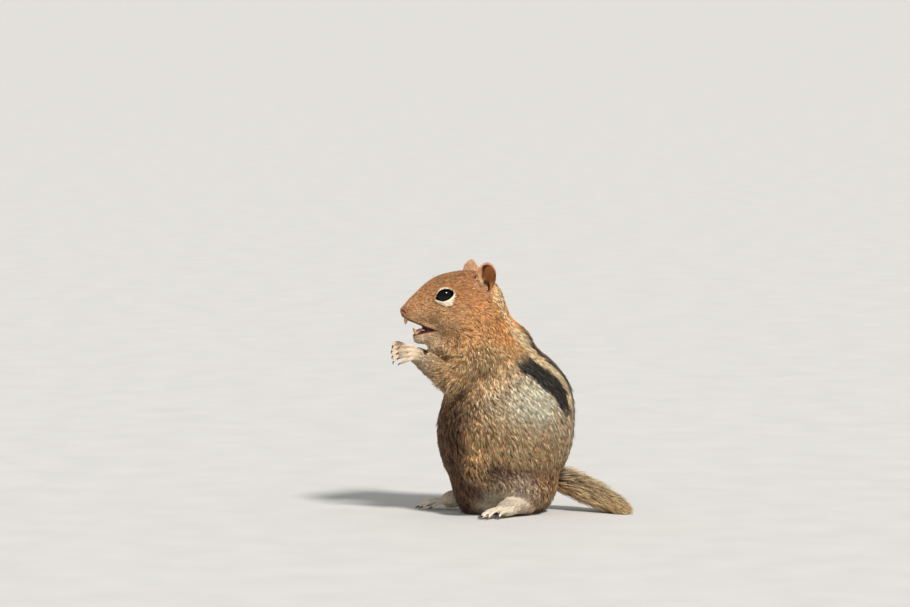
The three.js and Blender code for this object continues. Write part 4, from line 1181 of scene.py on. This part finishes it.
def all_fields(points, size=15000):
    """The fields of many points, worked out a part of them at a time."""
    pieces = [fields(points[i:i + size]) for i in range(0, len(points), size)]
    return {key: np.concatenate([piece[key] for piece in pieces]) for key in pieces[0]}


def softness(values):
    """How strongly each vertex is smoothed: full on the body, little on lids, lips, ears and paws."""
    share = values["parts"] @ np.array([SOFTNESS[name] for name in PART_NAMES])
    return share * (1 - 0.95 * ramp(0.02, 0.6, values["bare"]))


def light_copy(mesh, faces):
    """A copy of a mesh with about so many faces."""
    copy = linked("skin_unwrap", mesh.copy())
    fewer = copy.modifiers.new("fewer_faces", "DECIMATE")
    fewer.ratio = faces / len(mesh.polygons)
    graph = bpy.context.evaluated_depsgraph_get()
    low = bpy.data.meshes.new_from_object(copy.evaluated_get(graph))
    bpy.data.objects.remove(copy)
    return low


def unwrap(mesh):
    """Unwraps a mesh by the way that its faces look."""
    light = linked("skin_unwrap", mesh)
    bpy.context.view_layer.objects.active = light
    light.select_set(True)
    bpy.ops.object.mode_set(mode="EDIT")
    bpy.ops.mesh.select_all(action="SELECT")
    bpy.ops.uv.smart_project(angle_limit=math.radians(60), island_margin=UNWRAP_MARGIN)
    bpy.ops.object.mode_set(mode="OBJECT")
    bpy.data.objects.remove(light)


def unwrapped_places(mesh, points):
    """Each skin vertex's place on an unwrap of the skin, made on a light copy of it."""
    low = light_copy(mesh, UNWRAP_FACES)
    unwrap(low)
    low.calc_loop_triangles()
    corners = read_rows(low.vertices, "co", 3)
    triangles = read_rows(low.loop_triangles, "vertices", 3, np.int32)
    loops = read_rows(low.loop_triangles, "loops", 3, np.int32)
    uv = read_rows(low.uv_layers.active.data, "uv", 2)
    tree = BVHTree.FromPolygons(corners.tolist(), triangles.tolist())
    hits = [tree.find_nearest(Vector(point)) for point in in_frame(points)]
    index = np.array([hit[2] for hit in hits])
    place = np.array([hit[0] for hit in hits])
    a, b, c = (corners[triangles[index, i]] for i in range(3))
    whole = np.linalg.norm(np.cross(b - a, c - a), axis=1)
    shares = [np.linalg.norm(np.cross(q - place, r - place), axis=1) / whole
              for q, r in ((b, c), (c, a), (a, b))]
    result = sum(uv[loops[index, i]] * shares[i][:, None] for i in range(3)) / sum(shares)[:, None]
    return np.clip(result, 0.002, 0.998)


def settle_nostrils(points):
    """Draws the nostrils' path onto the smoothed skin."""
    path = smooth_path(NOSTRIL, 9)
    path = np.array([points[((points - place) ** 2).sum(1).argmin()] for place in path])
    SKIN["nostrils"] = smooth_path(relaxed_line(path), 33)


def shape_relief(mesh):
    """Raises and sinks the smoothed skin: swellings, folds, and the coat's own depth. Gives its fields."""
    points, normals, edges = mesh_arrays(mesh)
    values = all_fields(points)
    relief = swellings(points) - folds(points)[0] + head_folds(points, values)
    depth = values["length"] * LIE_HEIGHT * (1 - ramp(0, 0.5, values["bare"]))
    depth = relaxed(depth[:, None], edges, 12, 1)
    relief = (relief[:, None] - depth) * ramp(0.1, 2.5, points[:, 2])[:, None]
    points = points + normals * relief
    points[:, 2] = np.maximum(points[:, 2], SKIN_FLOOR)
    move_vertices(mesh, relaxed(points, edges, 6, np.minimum(softness(values), 0.5)))
    return values


def keep_skin(mesh, values):
    """Keeps the finished skin for all that grows on it, and marks its colours."""
    points, normals, edges = mesh_arrays(mesh)
    paint_ears(values, points, normals)
    lie = values["lie"] - normals * (values["lie"] * normals).sum(1)[:, None]
    mesh.calc_loop_triangles()
    triangles = read_rows(mesh.loop_triangles, "vertices", 3, np.int32)
    SKIN.update(values, points=points, normals=normals, triangles=triangles)
    SKIN["lie"] = relaxed(lie, edges, 20, 1)
    SKIN["unwrap"] = unwrapped_places(mesh, points)
    SKIN["tree"] = tree_of(points)
    root, middle = values["tones"][:, 0], values["tones"][:, 1]
    set_colours(mesh, "markings", blend(root * 0.4 + middle * 0.6, middle, values["bare"]))


def build_skin(voxel):
    """The one skin of the squirrel, with its fields kept for the coat."""
    shapes = flesh() + [tail_core()]
    for name, side in SIDES.items():
        shapes += ear_folds(side) + hand_shapes(side) + foot_shapes(name) + [lid_band(side)]
    mesh = remeshed(shapes, voxel)
    points, _, edges = mesh_arrays(mesh)
    points = relaxed(points, edges, SMOOTHING_PASSES, softness(all_fields(points)))
    settle_nostrils(points)
    move_vertices(mesh, points)
    keep_skin(mesh, shape_relief(mesh))
    return mesh


# The coat


def tuft_roots(parts, sides, count, draw):
    """Roots of tufts spread evenly over parts of the skin, with all that the skin holds for them."""
    triangles = SKIN["triangles"]
    corners = SKIN["points"][triangles]
    middle = corners.mean(1)
    area = np.linalg.norm(np.cross(corners[:, 1] - corners[:, 0], corners[:, 2] - corners[:, 0]), axis=1) / 2
    heaviest = SKIN["parts"][triangles].mean(1).argmax(1)
    wanted = np.isin(heaviest, [PART_NAMES.index(name) for name in parts])
    wanted &= np.isin(np.where(middle[:, 1] < 0, -1, 1), sides)
    wanted &= (SKIN["bare"][triangles].max(1) < 0.5) & (middle[:, 2] > 0.6)
    chance = np.where(wanted, area, 0)
    chosen = triangles[draw.choice(len(triangles), count, p=chance / chance.sum())]
    shares = draw.random((count, 2))
    over = shares.sum(1) > 1
    shares[over] = 1 - shares[over]
    shares = np.column_stack((1 - shares.sum(1), shares))
    roots = {"unwrap": SKIN["unwrap"][chosen[:, 0]]}
    for key in ("points", "normals", "lie", "length", "tones", "grizzle"):
        values = SKIN[key][chosen]
        roots[key] = (values * shares.reshape(shares.shape + (1,) * (values.ndim - 2))).sum(1)
    return roots


def fringe_roots(count, draw):
    """Roots of the long pale hairs that stand along the front edge of each ear."""
    rows = []
    for side in SIDES.values():
        _, upward, facing, backward = ear_axes(side)
        for _ in range(count // 2):
            angle = math.radians(draw.uniform(150, 236))
            place, index, _ = SKIN["tree"].find(ear_place(side, draw.uniform(0.8, 0.97), angle))
            rows.append({
                "points": np.array(place),
                "normals": unit(facing + 0.4 * backward),
                "lie": unit(upward + backward * draw.uniform(0.1, 0.5)),
                "length": draw.uniform(2.2, 4.0),
                "tones": COATS["cheek"][:3],
                "grizzle": 0,
                "unwrap": SKIN["unwrap"][index],
            })
    return {key: np.array([row[key] for row in rows]) for key in rows[0]}


def clump_leaders(roots, lies, draw):
    """The hair that each root's clump gathers round and how far it is; clumps are long along the lie."""
    way = unit((lies * (1, 0, 1)).mean(0))
    places = roots - (roots @ way)[:, None] * way * 0.6
    leaders = draw.choice(len(roots), max(len(roots) // CLUMP_SIZE, 1), replace=False)
    tree = tree_of(places[leaders])
    found = [tree.find(place) for place in places]
    return leaders[[hit[1] for hit in found]], np.array([hit[2] for hit in found])


def gathered(tips, leaders, lengths, share):
    """Tips drawn towards the tip of their clump's own hair."""
    pull = tips[leaders] - tips
    limit = np.minimum(1, 0.5 * lengths / np.maximum(np.linalg.norm(pull, axis=1), 1e-6))
    return tips + pull * (share * limit)[:, None]


# The share of stray tufts, the tufts in a clump, the share of a tuft's length where it bends, and how deep
# its root is sunk at most

STRAY_SHARE = 0.03
CLUMP_SIZE = 9
TUFT_BEND = 0.45
ROOT_DEPTH = 0.35

# A tuft has its root, a ring of three and its tip. Its patch of the unwrap is about 0.003 across.

TUFT_FACES = np.array(((0, 2, 1), (0, 3, 2), (0, 1, 3), (1, 2, 4), (2, 3, 4), (3, 1, 4)))
TUFT_PATCH = ((0, -0.0015), (-0.0012, 0), (0.0012, 0), (0, 0), (0, 0.0015))

# A tuft of the tail has two rings between its root and its tip

TAIL_TUFT_BAND = [face for a, b in ((1, 2), (2, 3), (3, 1)) for face in ((a, b, b + 3), (a, b + 3, a + 3))]
TAIL_TUFT_FACES = np.array([*TUFT_FACES[:3], *TAIL_TUFT_BAND, *(TUFT_FACES[3:] + 3)])
TAIL_TUFT_PATCH = [
    (0, -0.0015), *[(u, v) for v in (-0.0003, 0.0008) for u in (-0.0012, 0.0012, 0)], (0, 0.0015)]


def hair_mesh(name, vertices, faces, colours, places, patch):
    """A mesh of many tufts alike, each with its colours and its own patch of the unwrap."""
    count, corners = vertices.shape[:2]
    vertices = vertices.copy()
    vertices[:, :, 2] = np.maximum(vertices[:, :, 2], COAT_FLOOR)
    triangles = (faces[None] + corners * np.arange(count)[:, None, None]).reshape(-1, 3)
    mesh = triangle_mesh(name, vertices.reshape(-1, 3), triangles)
    set_colours(mesh, "markings", np.clip(colours.reshape(-1, 3), 0, 1))
    uv = (places[:, None, :] + np.array(patch)[None]).reshape(-1, 2)
    layer = mesh.uv_layers.new(name="OFBake")
    layer.data.foreach_set("uv", uv[triangles.reshape(-1)].astype(np.float32).ravel())
    return mesh


def tuft_tones(roots, leaders, apart, length, clumping, draw):
    """Each tuft's colours at its root, middle and tip, with painted light inside a clump and painted shade
    between clumps.
    """
    count = len(length)
    light = 0.1 * draw.standard_normal(count) + 0.2 * draw.standard_normal(count)[leaders]
    # Painted light at the middle of each clump and painted shade in the gaps between clumps
    light = light + (0.35 - 0.95 * ramp(0.5, 1.7, apart / apart.mean())) * clumping
    tones = roots["tones"] * np.exp(light * (0.5 + 2.2 * roots["grizzle"]))[:, None, None]
    kind = draw.random(count)
    dark = (kind < roots["grizzle"])[:, None]
    pale = (kind > 1 - 0.9 * roots["grizzle"])[:, None]
    tip = np.where(dark, tones[:, 1] * 0.45, tones[:, 2])
    tip = np.where(pale, tones[:, 2] * 1.25, tip)
    mid = np.where(pale, tones[:, 1] * 0.6 + tones[:, 2] * 0.5, tones[:, 1])
    mid = np.where(dark, tones[:, 1] * 0.8, mid)
    return blend(mid, tones[:, 0], np.clip(length / 5, 0.35, 1)), mid, tip


def tufts(name, roots, width, lift, clumping, draw):
    """Closed, tapered tufts, each bent at its middle, that lie along the skin and gather in small clumps."""
    count = len(roots["points"])
    start, normals, length = roots["points"], unit(roots["normals"]), roots["length"]
    lie = unit(roots["lie"] - normals * (roots["lie"] * normals).sum(1)[:, None])
    leaders, apart = clump_leaders(start, lie, draw)
    wave = np.sin(start[:, 2] * 0.8 + start[:, 0] * 0.5) + np.sin(start[:, 2] * 0.37 - start[:, 1] * 0.6 + 2)
    sway = 0.1 * draw.standard_normal(count) + 0.12 * draw.standard_normal(count)[leaders] + 0.08 * wave
    lie = unit(lie + np.cross(normals, lie) * sway[:, None])
    aside = np.cross(normals, lie)
    stray = draw.random(count) < STRAY_SHARE
    length = length * draw.uniform(0.75, 1.2, count) * draw.uniform(0.85, 1.15, count)[leaders]
    length = length * np.where(stray, 1.2, 1)
    angle = np.radians(lift) * draw.uniform(0.6, 1.35, count) * np.where(stray, 1.3, 1)
    angle = angle * np.clip(length / 2.2, 0.4, 1)
    rise, run = np.sin(angle)[:, None], np.cos(angle)[:, None]
    middle = start + (lie * run + normals * rise) * (length * TUFT_BEND)[:, None]
    tips = middle + unit(lie * run + normals * rise * 0.3) * (length * (1 - TUFT_BEND))[:, None]
    tips = gathered(tips, leaders, length, clumping)
    middle = gathered(middle, leaders, length, clumping * 0.3)
    breadth = width * draw.uniform(0.75, 1.25, count) * np.where(stray, 0.7, 1)
    half = aside * (breadth / 2)[:, None]
    ridge = normals * (breadth * 0.4)[:, None]
    sunk = start - normals * np.minimum(ROOT_DEPTH, 0.2 * length)[:, None]
    vertices = np.stack((sunk, middle - half, middle + half, middle + ridge, tips), 1)
    root, mid, tip = tuft_tones(roots, leaders, apart, length, clumping, draw)
    colours = np.stack((root, mid, mid, mid, tip), 1)
    return hair_mesh(name, vertices, TUFT_FACES, colours, roots["unwrap"], TUFT_PATCH)


# The tail's long hair: the share of the tail where it begins, its length in millimetres and its lean in
# degrees at shares of the way along, and its width

TAIL_FIRST_HAIR = 0.14
TAIL_HAIR_LENGTHS = ((0.15, 0.3, 0.5, 0.8, 1), (12, 14, 15, 14, 11))
TAIL_HAIR_LEANS = ((0.15, 0.3, 0.7, 1), (38, 33, 20, 8))
TAIL_HAIR_WIDTH = 0.4
TAIL_TAN = (linear(112, 74, 42), linear(196, 148, 96), linear(232, 198, 146))
TAIL_GRIZZLE = (linear(74, 48, 28), linear(38, 28, 21), linear(232, 200, 152))


def tail_tones(angle, along, leaders, draw):
    """The colours of the tail's tufts, grizzled above and tan below, at the edges and at the tip."""
    count = len(along)
    fringe = ramp(0.3, 0.85, -np.sin(angle) * 0.6 + np.abs(np.cos(angle)) * 0.45 + 0.9 * ramp(0.75, 1, along))
    fringe = np.clip(fringe + 0.25 * draw.standard_normal(count), 0, 1)
    light = np.exp(0.16 * draw.standard_normal(count) + 0.25 * draw.standard_normal(count)[leaders])[:, None]
    return [blend(np.array(TAIL_GRIZZLE[i])[None], TAIL_TAN[i], fringe) * light for i in range(3)]


def tail_hair(count, seed):
    """Long hair along the tail, closed tapered tufts that lie back and spread into a flat brush."""
    draw = np.random.default_rng(seed)
    path = smooth_path(TAIL_PATH, 200)
    heading = unit(np.gradient(path, axis=0))
    along = TAIL_FIRST_HAIR + (1 - TAIL_FIRST_HAIR) * draw.random(count) ** 0.9
    index = (along * 199).astype(int)
    centre, forward = path[index], heading[index]
    sideways = unit(np.column_stack((forward[:, 1], -forward[:, 0], np.zeros(count))))
    upward = np.cross(sideways, forward)
    upward *= np.sign(upward[:, 2:3])
    angle = draw.uniform(0, 2 * math.pi, count)
    outward = sideways * np.cos(angle)[:, None] + upward * np.sin(angle)[:, None]
    core = np.interp(along, (0, 0.25, 0.5, 0.75, 1), np.array(TAIL_TAPER) * TAIL_CORE_RADIUS)
    roots = centre + outward * (core * 0.8)[:, None]
    length = np.interp(along, *TAIL_HAIR_LENGTHS) * draw.uniform(0.8, 1.15, count)
    spread = np.hypot(np.cos(angle) * 1.15, np.sin(angle) * 0.85)
    lean = np.radians(np.interp(along, *TAIL_HAIR_LEANS)) * spread
    lean = lean * draw.uniform(0.5, 1.25, count)
    wander = 0.07 * draw.standard_normal((count, 3))
    lean = lean[:, None]
    way = unit(forward * np.cos(lean) + outward * np.sin(lean) + wander)
    later = unit(forward * np.cos(lean * 0.35) + outward * np.sin(lean * 0.35) + wander * 1.4)
    middle = roots + way * (length * 0.4)[:, None]
    further = middle + unit(way + later) * (length * 0.3)[:, None]
    tips = further + later * (length * 0.3)[:, None]
    leaders, _ = clump_leaders(roots, way, draw)
    tips = gathered(tips, leaders, length, 0.35)
    side = unit(np.cross(way, outward))
    width = TAIL_HAIR_WIDTH * draw.uniform(0.7, 1.2, count)
    rings = []
    for place, size in ((middle, 1), (further, 0.75)):
        half = side * (width * size / 2)[:, None]
        ridge = outward * (width * size * 0.4)[:, None]
        rings += [place - half, place + half, place + ridge]
    vertices = np.stack((roots - outward * 0.4, *rings, tips), 1)
    root, mid, tip = tail_tones(angle, along, leaders, draw)
    colours = np.stack((root, mid, mid, mid, *((mid * 0.5 + tip * 0.5),) * 3, tip), 1)
    places = SKIN["unwrap"][[SKIN["tree"].find(place)[1] for place in roots]]
    return hair_mesh("coat_tail", vertices, TAIL_TUFT_FACES, colours, places, TAIL_TUFT_PATCH)


# Eyes, teeth, tongue, claws and whiskers


def eyeball(side):
    """A round eye whose clear front stands out a little."""
    centre, outward, forward, up = eye_axes(side)
    vertices, faces = ball((0, 0, 0), (1, 1, 1), 48)
    bulge = 0.045 * ramp(0.5, 1, vertices[:, 2])
    vertices = vertices * (EYE_RADIUS - 0.05) * (1 + bulge)[:, None]
    return centre + vertices @ np.array((forward, up * side, outward)), faces


def lid_rims(side):
    """The dark bare rims of both lids, one thin ring round the opening."""
    centre, outward, forward, up = eye_axes(side)
    count, sides = 64, 8
    angle = np.linspace(0, 2 * math.pi, count, endpoint=False)
    a, b = eye_outline(angle, 0.08)
    ring = np.stack((a, b, np.sqrt(LID_RIM_REACH**2 - a**2 - b**2)), 1)
    along = unit(np.roll(ring, -1, 0) - np.roll(ring, 1, 0))
    away = ring - (0, 0, LID_RIM_REACH * 0.9)
    away = unit(away - (away * along).sum(1)[:, None] * along)
    other = np.cross(along, away)
    thick, deep = LID_RIM_SIZE
    turns = 2 * math.pi * np.arange(sides) / sides
    rings = [ring + away * thick * math.cos(turn) + other * deep * math.sin(turn) for turn in turns]
    points = centre + np.stack(rings, 1).reshape(-1, 3) @ np.array((forward, up, outward))
    return points, band_faces(count, sides, side)


def incisors(path, radii):
    """A pair of curved front teeth with chisel edges."""
    shapes = []
    for side in SIDES.values():
        points = [on_side(point, side) for point in path]
        shapes.append(tube(points, radii, 14, 14, flat=INCISOR_FLAT, cap=0.15))
    return joined(shapes)


def claws():
    """Curved claws on all fingers and toes."""
    shapes = []
    for side, sign in SIDES.items():
        for _, _, bend, tip, end in finger_joints(sign):
            crest = (tip + end) / 2 + (-0.4, 0, 0.3)
            shapes.append(tube((bend + (tip - bend) * 0.8, crest, end), FINGER_CLAW_RADII, 8, 8))
        for _, knuckle, tip, end in toe_joints(side):
            start = knuckle + (tip - knuckle) * 0.85
            crest = (tip + end) / 2 + (0, 0, 0.6)
            shapes.append(tube((start, crest, end + (0, 0, 0.15)), TOE_CLAW_RADII, 8, 8))
    return joined(shapes)


def whiskers():
    """Whiskers in rows on both sides of the muzzle, and a few above each eye, rooted in the skin."""
    draw = np.random.default_rng(5)
    shapes = []
    for side in SIDES.values():
        for root in WHISKER_ROOTS:
            start = np.array(SKIN["tree"].find(on_side(root, side))[0])
            way = unit(np.array((0.6, side * 1.1, draw.uniform(-0.5, 0.3))))
            end = start + way * draw.uniform(*WHISKER_LENGTH)
            middle = (start + end) / 2 + (-0.8, 0, 1.2)
            shapes.append(tube((start - way * 0.5, middle, end), (0.05, 0.04, 0.012), 4, 12))
        for root in BROW_HAIR_ROOTS:
            start = np.array(SKIN["tree"].find(on_side(root, side))[0])
            way = unit(np.array((0.4, side * 0.6, 1)))
            middle = start + way * (BROW_HAIR_LENGTH / 2)
            end = start + way * BROW_HAIR_LENGTH + (3, 0, -0.5)
            shapes.append(tube((start - way * 0.5, middle, end), (0.045, 0.035, 0.012), 4, 8))
    return joined(shapes)


# Settings that a user would change


class SquirrelSettings(bpy.types.PropertyGroup):
    """Sizes and counts of the skin and the coat."""

    skin_voxel: bpy.props.FloatProperty(
        name="Skin cell", description="Size of the cells that the skin is made from, in millimetres",
        default=0.47, min=0.3, max=2)
    coat_density: bpy.props.FloatProperty(
        name="Coat density", description="Share of the full number of tufts", default=1.0, min=0.05,
        max=1.0, subtype="FACTOR")
    tail_tufts: bpy.props.IntProperty(
        name="Tail tufts", description="Number of long tufts on the tail", default=8000, min=500, max=16000)
    seed: bpy.props.IntProperty(name="Seed", description="First number of the random draws", default=11)


class SquirrelColours(bpy.types.PropertyGroup):
    """Colours of the bare parts and of the stage."""

    claw: bpy.props.FloatVectorProperty(
        name="Claw", description="Colour of the claws", default=linear(74, 52, 38), size=3, subtype="COLOR")
    tooth: bpy.props.FloatVectorProperty(
        name="Tooth", description="Colour of the front teeth", default=linear(222, 170, 96), size=3,
        subtype="COLOR")
    tongue: bpy.props.FloatVectorProperty(
        name="Tongue", description="Colour of the tongue", default=linear(186, 104, 98), size=3,
        subtype="COLOR")
    floor: bpy.props.FloatVectorProperty(
        name="Floor", description="Colour of the floor", default=linear(214, 211, 204), size=3,
        subtype="COLOR")


class StageSettings(bpy.types.PropertyGroup):
    """The camera's place and the lights' strength."""

    azimuth: bpy.props.FloatProperty(
        name="Azimuth", description="Angle of the camera round the animal", default=math.radians(-18),
        subtype="ANGLE")
    elevation: bpy.props.FloatProperty(
        name="Elevation", description="Angle of the camera above the floor", default=math.radians(4),
        subtype="ANGLE")
    distance: bpy.props.FloatProperty(
        name="Distance", description="Distance from the camera to the animal", default=2.73,
        subtype="DISTANCE", unit="LENGTH")
    key_strength: bpy.props.FloatProperty(
        name="Key light", description="Strength of the main light", default=3.4, min=0)
    key_azimuth: bpy.props.FloatProperty(
        name="Key azimuth", description="Angle of the main light round the animal",
        default=math.radians(12), subtype="ANGLE")
    key_elevation: bpy.props.FloatProperty(
        name="Key elevation", description="Angle of the main light above the floor",
        default=math.radians(47), subtype="ANGLE")
    key_size: bpy.props.FloatProperty(
        name="Key size", description="How wide the main light looks, and so how soft its shadows are",
        default=math.radians(9), subtype="ANGLE")
    surrounding_light: bpy.props.FloatProperty(
        name="Surrounding light", description="Strength of the light from all around", default=0.44, min=0)


# Operators, one for each piece or group of like pieces. The floor is a disc whose radius is in metres.

CAMERA_AIM = (-25.55, 0.0, 114.1)
FLOOR_RADIUS = 60
FLOOR_SIDES = 96


def direction(azimuth, elevation):
    """The way from the animal to a viewer or a light at an angle round it and an angle above the floor."""
    flat = math.cos(elevation)
    return Vector((math.sin(azimuth) * flat, -math.cos(azimuth) * flat, math.sin(elevation)))


class SQUIRREL_OT_camera(bpy.types.Operator):
    """Set the camera at the viewing angle"""

    bl_idname = "squirrel.camera"
    bl_label = "Camera"

    def execute(self, context):
        stage = context.scene.squirrel_stage
        aim = Vector(in_frame(CAMERA_AIM))
        back = direction(stage.azimuth, stage.elevation)
        data = bpy.data.cameras.new("squirrel_camera")
        data.lens = 200
        data.sensor_width = 36
        data.clip_start = 0.05
        camera = linked("squirrel_camera", data)
        camera.location = aim + back * stage.distance
        camera.rotation_euler = back.to_track_quat("Z", "Y").to_euler()
        context.scene.camera = camera
        return {"FINISHED"}


class SQUIRREL_OT_stage(bpy.types.Operator):
    """Lay the plain floor and set the soft lights"""

    bl_idname = "squirrel.stage"
    bl_label = "Floor and lights"

    def execute(self, context):
        scene, stage = context.scene, context.scene.squirrel_stage
        turns = [2 * math.pi * i / FLOOR_SIDES for i in range(FLOOR_SIDES)]
        mesh = bpy.data.meshes.new("floor")
        ring = [(FLOOR_RADIUS * math.cos(turn), FLOOR_RADIUS * math.sin(turn), 0) for turn in turns]
        mesh.from_pydata(ring, [], [tuple(range(FLOOR_SIDES))])
        floor = linked("floor", mesh)
        colour = tuple(scene.squirrel_colours.floor)
        darker = tuple(value * 0.95 for value in colour)
        mesh.materials.append(grained_material("floor_paint", darker, colour, 0.75, 30, relief=0.05))
        data = bpy.data.lights.new("key", "SUN")
        data.energy = stage.key_strength
        data.angle = stage.key_size
        back = direction(stage.key_azimuth, stage.key_elevation)
        linked("key", data).rotation_euler = back.to_track_quat("Z", "Y").to_euler()
        world = bpy.data.worlds.new("studio")
        world.use_nodes = True
        background = world.node_tree.nodes["Background"]
        background.inputs["Color"].default_value = (0.96, 0.97, 1, 1)
        background.inputs["Strength"].default_value = stage.surrounding_light
        scene.world = world
        scene.view_settings.view_transform = "Standard"
        return {"FINISHED"}


class SQUIRREL_OT_skin(bpy.types.Operator):
    """Wrap the whole body in one skin"""

    bl_idname = "squirrel.skin"
    bl_label = "Skin"

    def execute(self, context):
        mesh = build_skin(context.scene.squirrel_settings.skin_voxel)
        mesh.name = "skin"
        add_piece("skin", mesh, KEPT_FLESH + PAWS + TAIL_NODES, skin_material())
        return {"FINISHED"}


class SQUIRREL_OT_coat(bpy.types.Operator):
    """Grow the tufts of the coat over the skin"""

    bl_idname = "squirrel.coat"
    bl_label = "Coat"

    def execute(self, context):
        if not SKIN:
            raise RuntimeError("the coat grows on the skin, so the skin comes first")
        settings = context.scene.squirrel_settings
        material = coat_material()
        for number, (name, piece) in enumerate(COAT_PIECES.items()):
            parts, sides, count, width, lift, clumping = piece
            draw = np.random.default_rng(settings.seed + number)
            roots = tuft_roots(parts, sides, int(count * settings.coat_density), draw)
            if "ear" in parts:
                fringe = fringe_roots(EAR_FRINGE_HAIRS, draw)
                roots = {key: np.concatenate((values, fringe[key])) for key, values in roots.items()}
            mesh = tufts(name, roots, width, lift, clumping, draw)
            starts = tuple(NODES_OF_PARTS[part] for part in parts)
            nodes = [node for node in KEPT_FLESH + PAWS if node.startswith(starts)]
            add_piece(name, mesh, nodes, material)
        mesh = tail_hair(int(settings.tail_tufts * settings.coat_density), settings.seed)
        add_piece("coat_tail", mesh, TAIL_NODES, material)
        return {"FINISHED"}


class SQUIRREL_OT_eyes(bpy.types.Operator):
    """Set the eyes and the rims of their lids"""

    bl_idname = "squirrel.eyes"
    bl_label = "Eyes"

    def execute(self, context):
        gloss = grained_material("wet_eye", linear(5, 4, 3), linear(14, 8, 5), 0.08, 500, relief=0.0)
        gloss.node_tree.nodes["Principled BSDF"].inputs["Specular IOR Level"].default_value = 0.22
        rim = grained_material("lid_rim", linear(20, 13, 10), linear(46, 30, 22), 0.4, 2500, relief=0.4)
        for name, side in SIDES.items():
            add_shape(f"eyeball_{name}", eyeball(side), [f"eye_{name}"], gloss)
            add_shape(f"lid_rims_{name}", lid_rims(side), ["head"], rim)
        return {"FINISHED"}


class SQUIRREL_OT_mouth(bpy.types.Operator):
    """Set the front teeth and the tongue"""

    bl_idname = "squirrel.mouth"
    bl_label = "Teeth and tongue"

    def execute(self, context):
        colours = context.scene.squirrel_colours
        tone = np.array(colours.tooth)
        enamel = grained_material(
            "enamel", tuple(tone * 0.7), tuple(tone), 0.3, 900, coat=0.5, stretch=(3, 3, 0.4))
        upper = incisors(UPPER_INCISOR, UPPER_INCISOR_RADII)
        lower = incisors(LOWER_INCISOR, LOWER_INCISOR_RADII)
        add_shape("upper_incisors", upper, ["incisors_upper"], enamel)
        add_shape("lower_incisors", lower, ["incisors_lower"], enamel)
        tone = np.array(colours.tongue)
        moist = grained_material(
            "moist_tongue", tuple(tone * 0.8), tuple(tone), 0.35, 1600, coat=0.4, relief=0.5)
        shape = tube(TONGUE_PATH, TONGUE_RADII, 20, 14, flat=TONGUE_FLAT)
        add_shape("tongue_flesh", shape, ["tongue"], moist)
        return {"FINISHED"}


class SQUIRREL_OT_claws(bpy.types.Operator):
    """Set a claw on each finger and toe"""

    bl_idname = "squirrel.claws"
    bl_label = "Claws"

    def execute(self, context):
        tone = np.array(context.scene.squirrel_colours.claw)
        horn = grained_material("claw_horn", tuple(tone * 0.6), tuple(tone), 0.3, 1200, coat=0.3)
        add_shape("claws", claws(), PAWS, horn)
        return {"FINISHED"}


class SQUIRREL_OT_whiskers(bpy.types.Operator):
    """Set the whiskers of the muzzle and brows"""

    bl_idname = "squirrel.whiskers"
    bl_label = "Whiskers"

    def execute(self, context):
        bristle = grained_material("whisker_bristle", linear(30, 22, 16), linear(60, 44, 32), 0.4, 300)
        add_shape("whisker_hairs", whiskers(), ["head"], bristle)
        return {"FINISHED"}


class SQUIRREL_PT_panel(bpy.types.Panel):
    """The squirrel's settings and the steps that make it"""

    bl_label = "Squirrel"
    bl_idname = "SQUIRREL_PT_panel"
    bl_space_type = "VIEW_3D"
    bl_region_type = "UI"
    bl_category = "Squirrel"

    def draw(self, context):
        for key, group in GROUPS.items():
            for name in group.__annotations__:
                self.layout.prop(getattr(context.scene, key), name)
        for operator in OPERATORS:
            self.layout.operator(operator.bl_idname)


OPERATORS = (
    SQUIRREL_OT_camera, SQUIRREL_OT_stage, SQUIRREL_OT_skin, SQUIRREL_OT_eyes, SQUIRREL_OT_mouth,
    SQUIRREL_OT_claws, SQUIRREL_OT_coat, SQUIRREL_OT_whiskers,
)
GROUPS = {
    "squirrel_settings": SquirrelSettings,
    "squirrel_colours": SquirrelColours,
    "squirrel_stage": StageSettings,
}


def register():
    """Makes the settings, the steps and the panel known to Blender."""
    for name, group in GROUPS.items():
        bpy.utils.register_class(group)
        setattr(bpy.types.Scene, name, bpy.props.PointerProperty(type=group))
    for operator in OPERATORS:
        bpy.utils.register_class(operator)
    bpy.utils.register_class(SQUIRREL_PT_panel)


def unregister():
    """Takes them out again."""
    bpy.utils.unregister_class(SQUIRREL_PT_panel)
    for operator in reversed(OPERATORS):
        bpy.utils.unregister_class(operator)
    for name, group in GROUPS.items():
        delattr(bpy.types.Scene, name)
        bpy.utils.unregister_class(group)


def main():
    """Runs every step in order."""
    register()
    for operator in OPERATORS:
        getattr(bpy.ops.squirrel, operator.bl_idname.split(".")[1])()


if __name__ == "__main__":
    main()
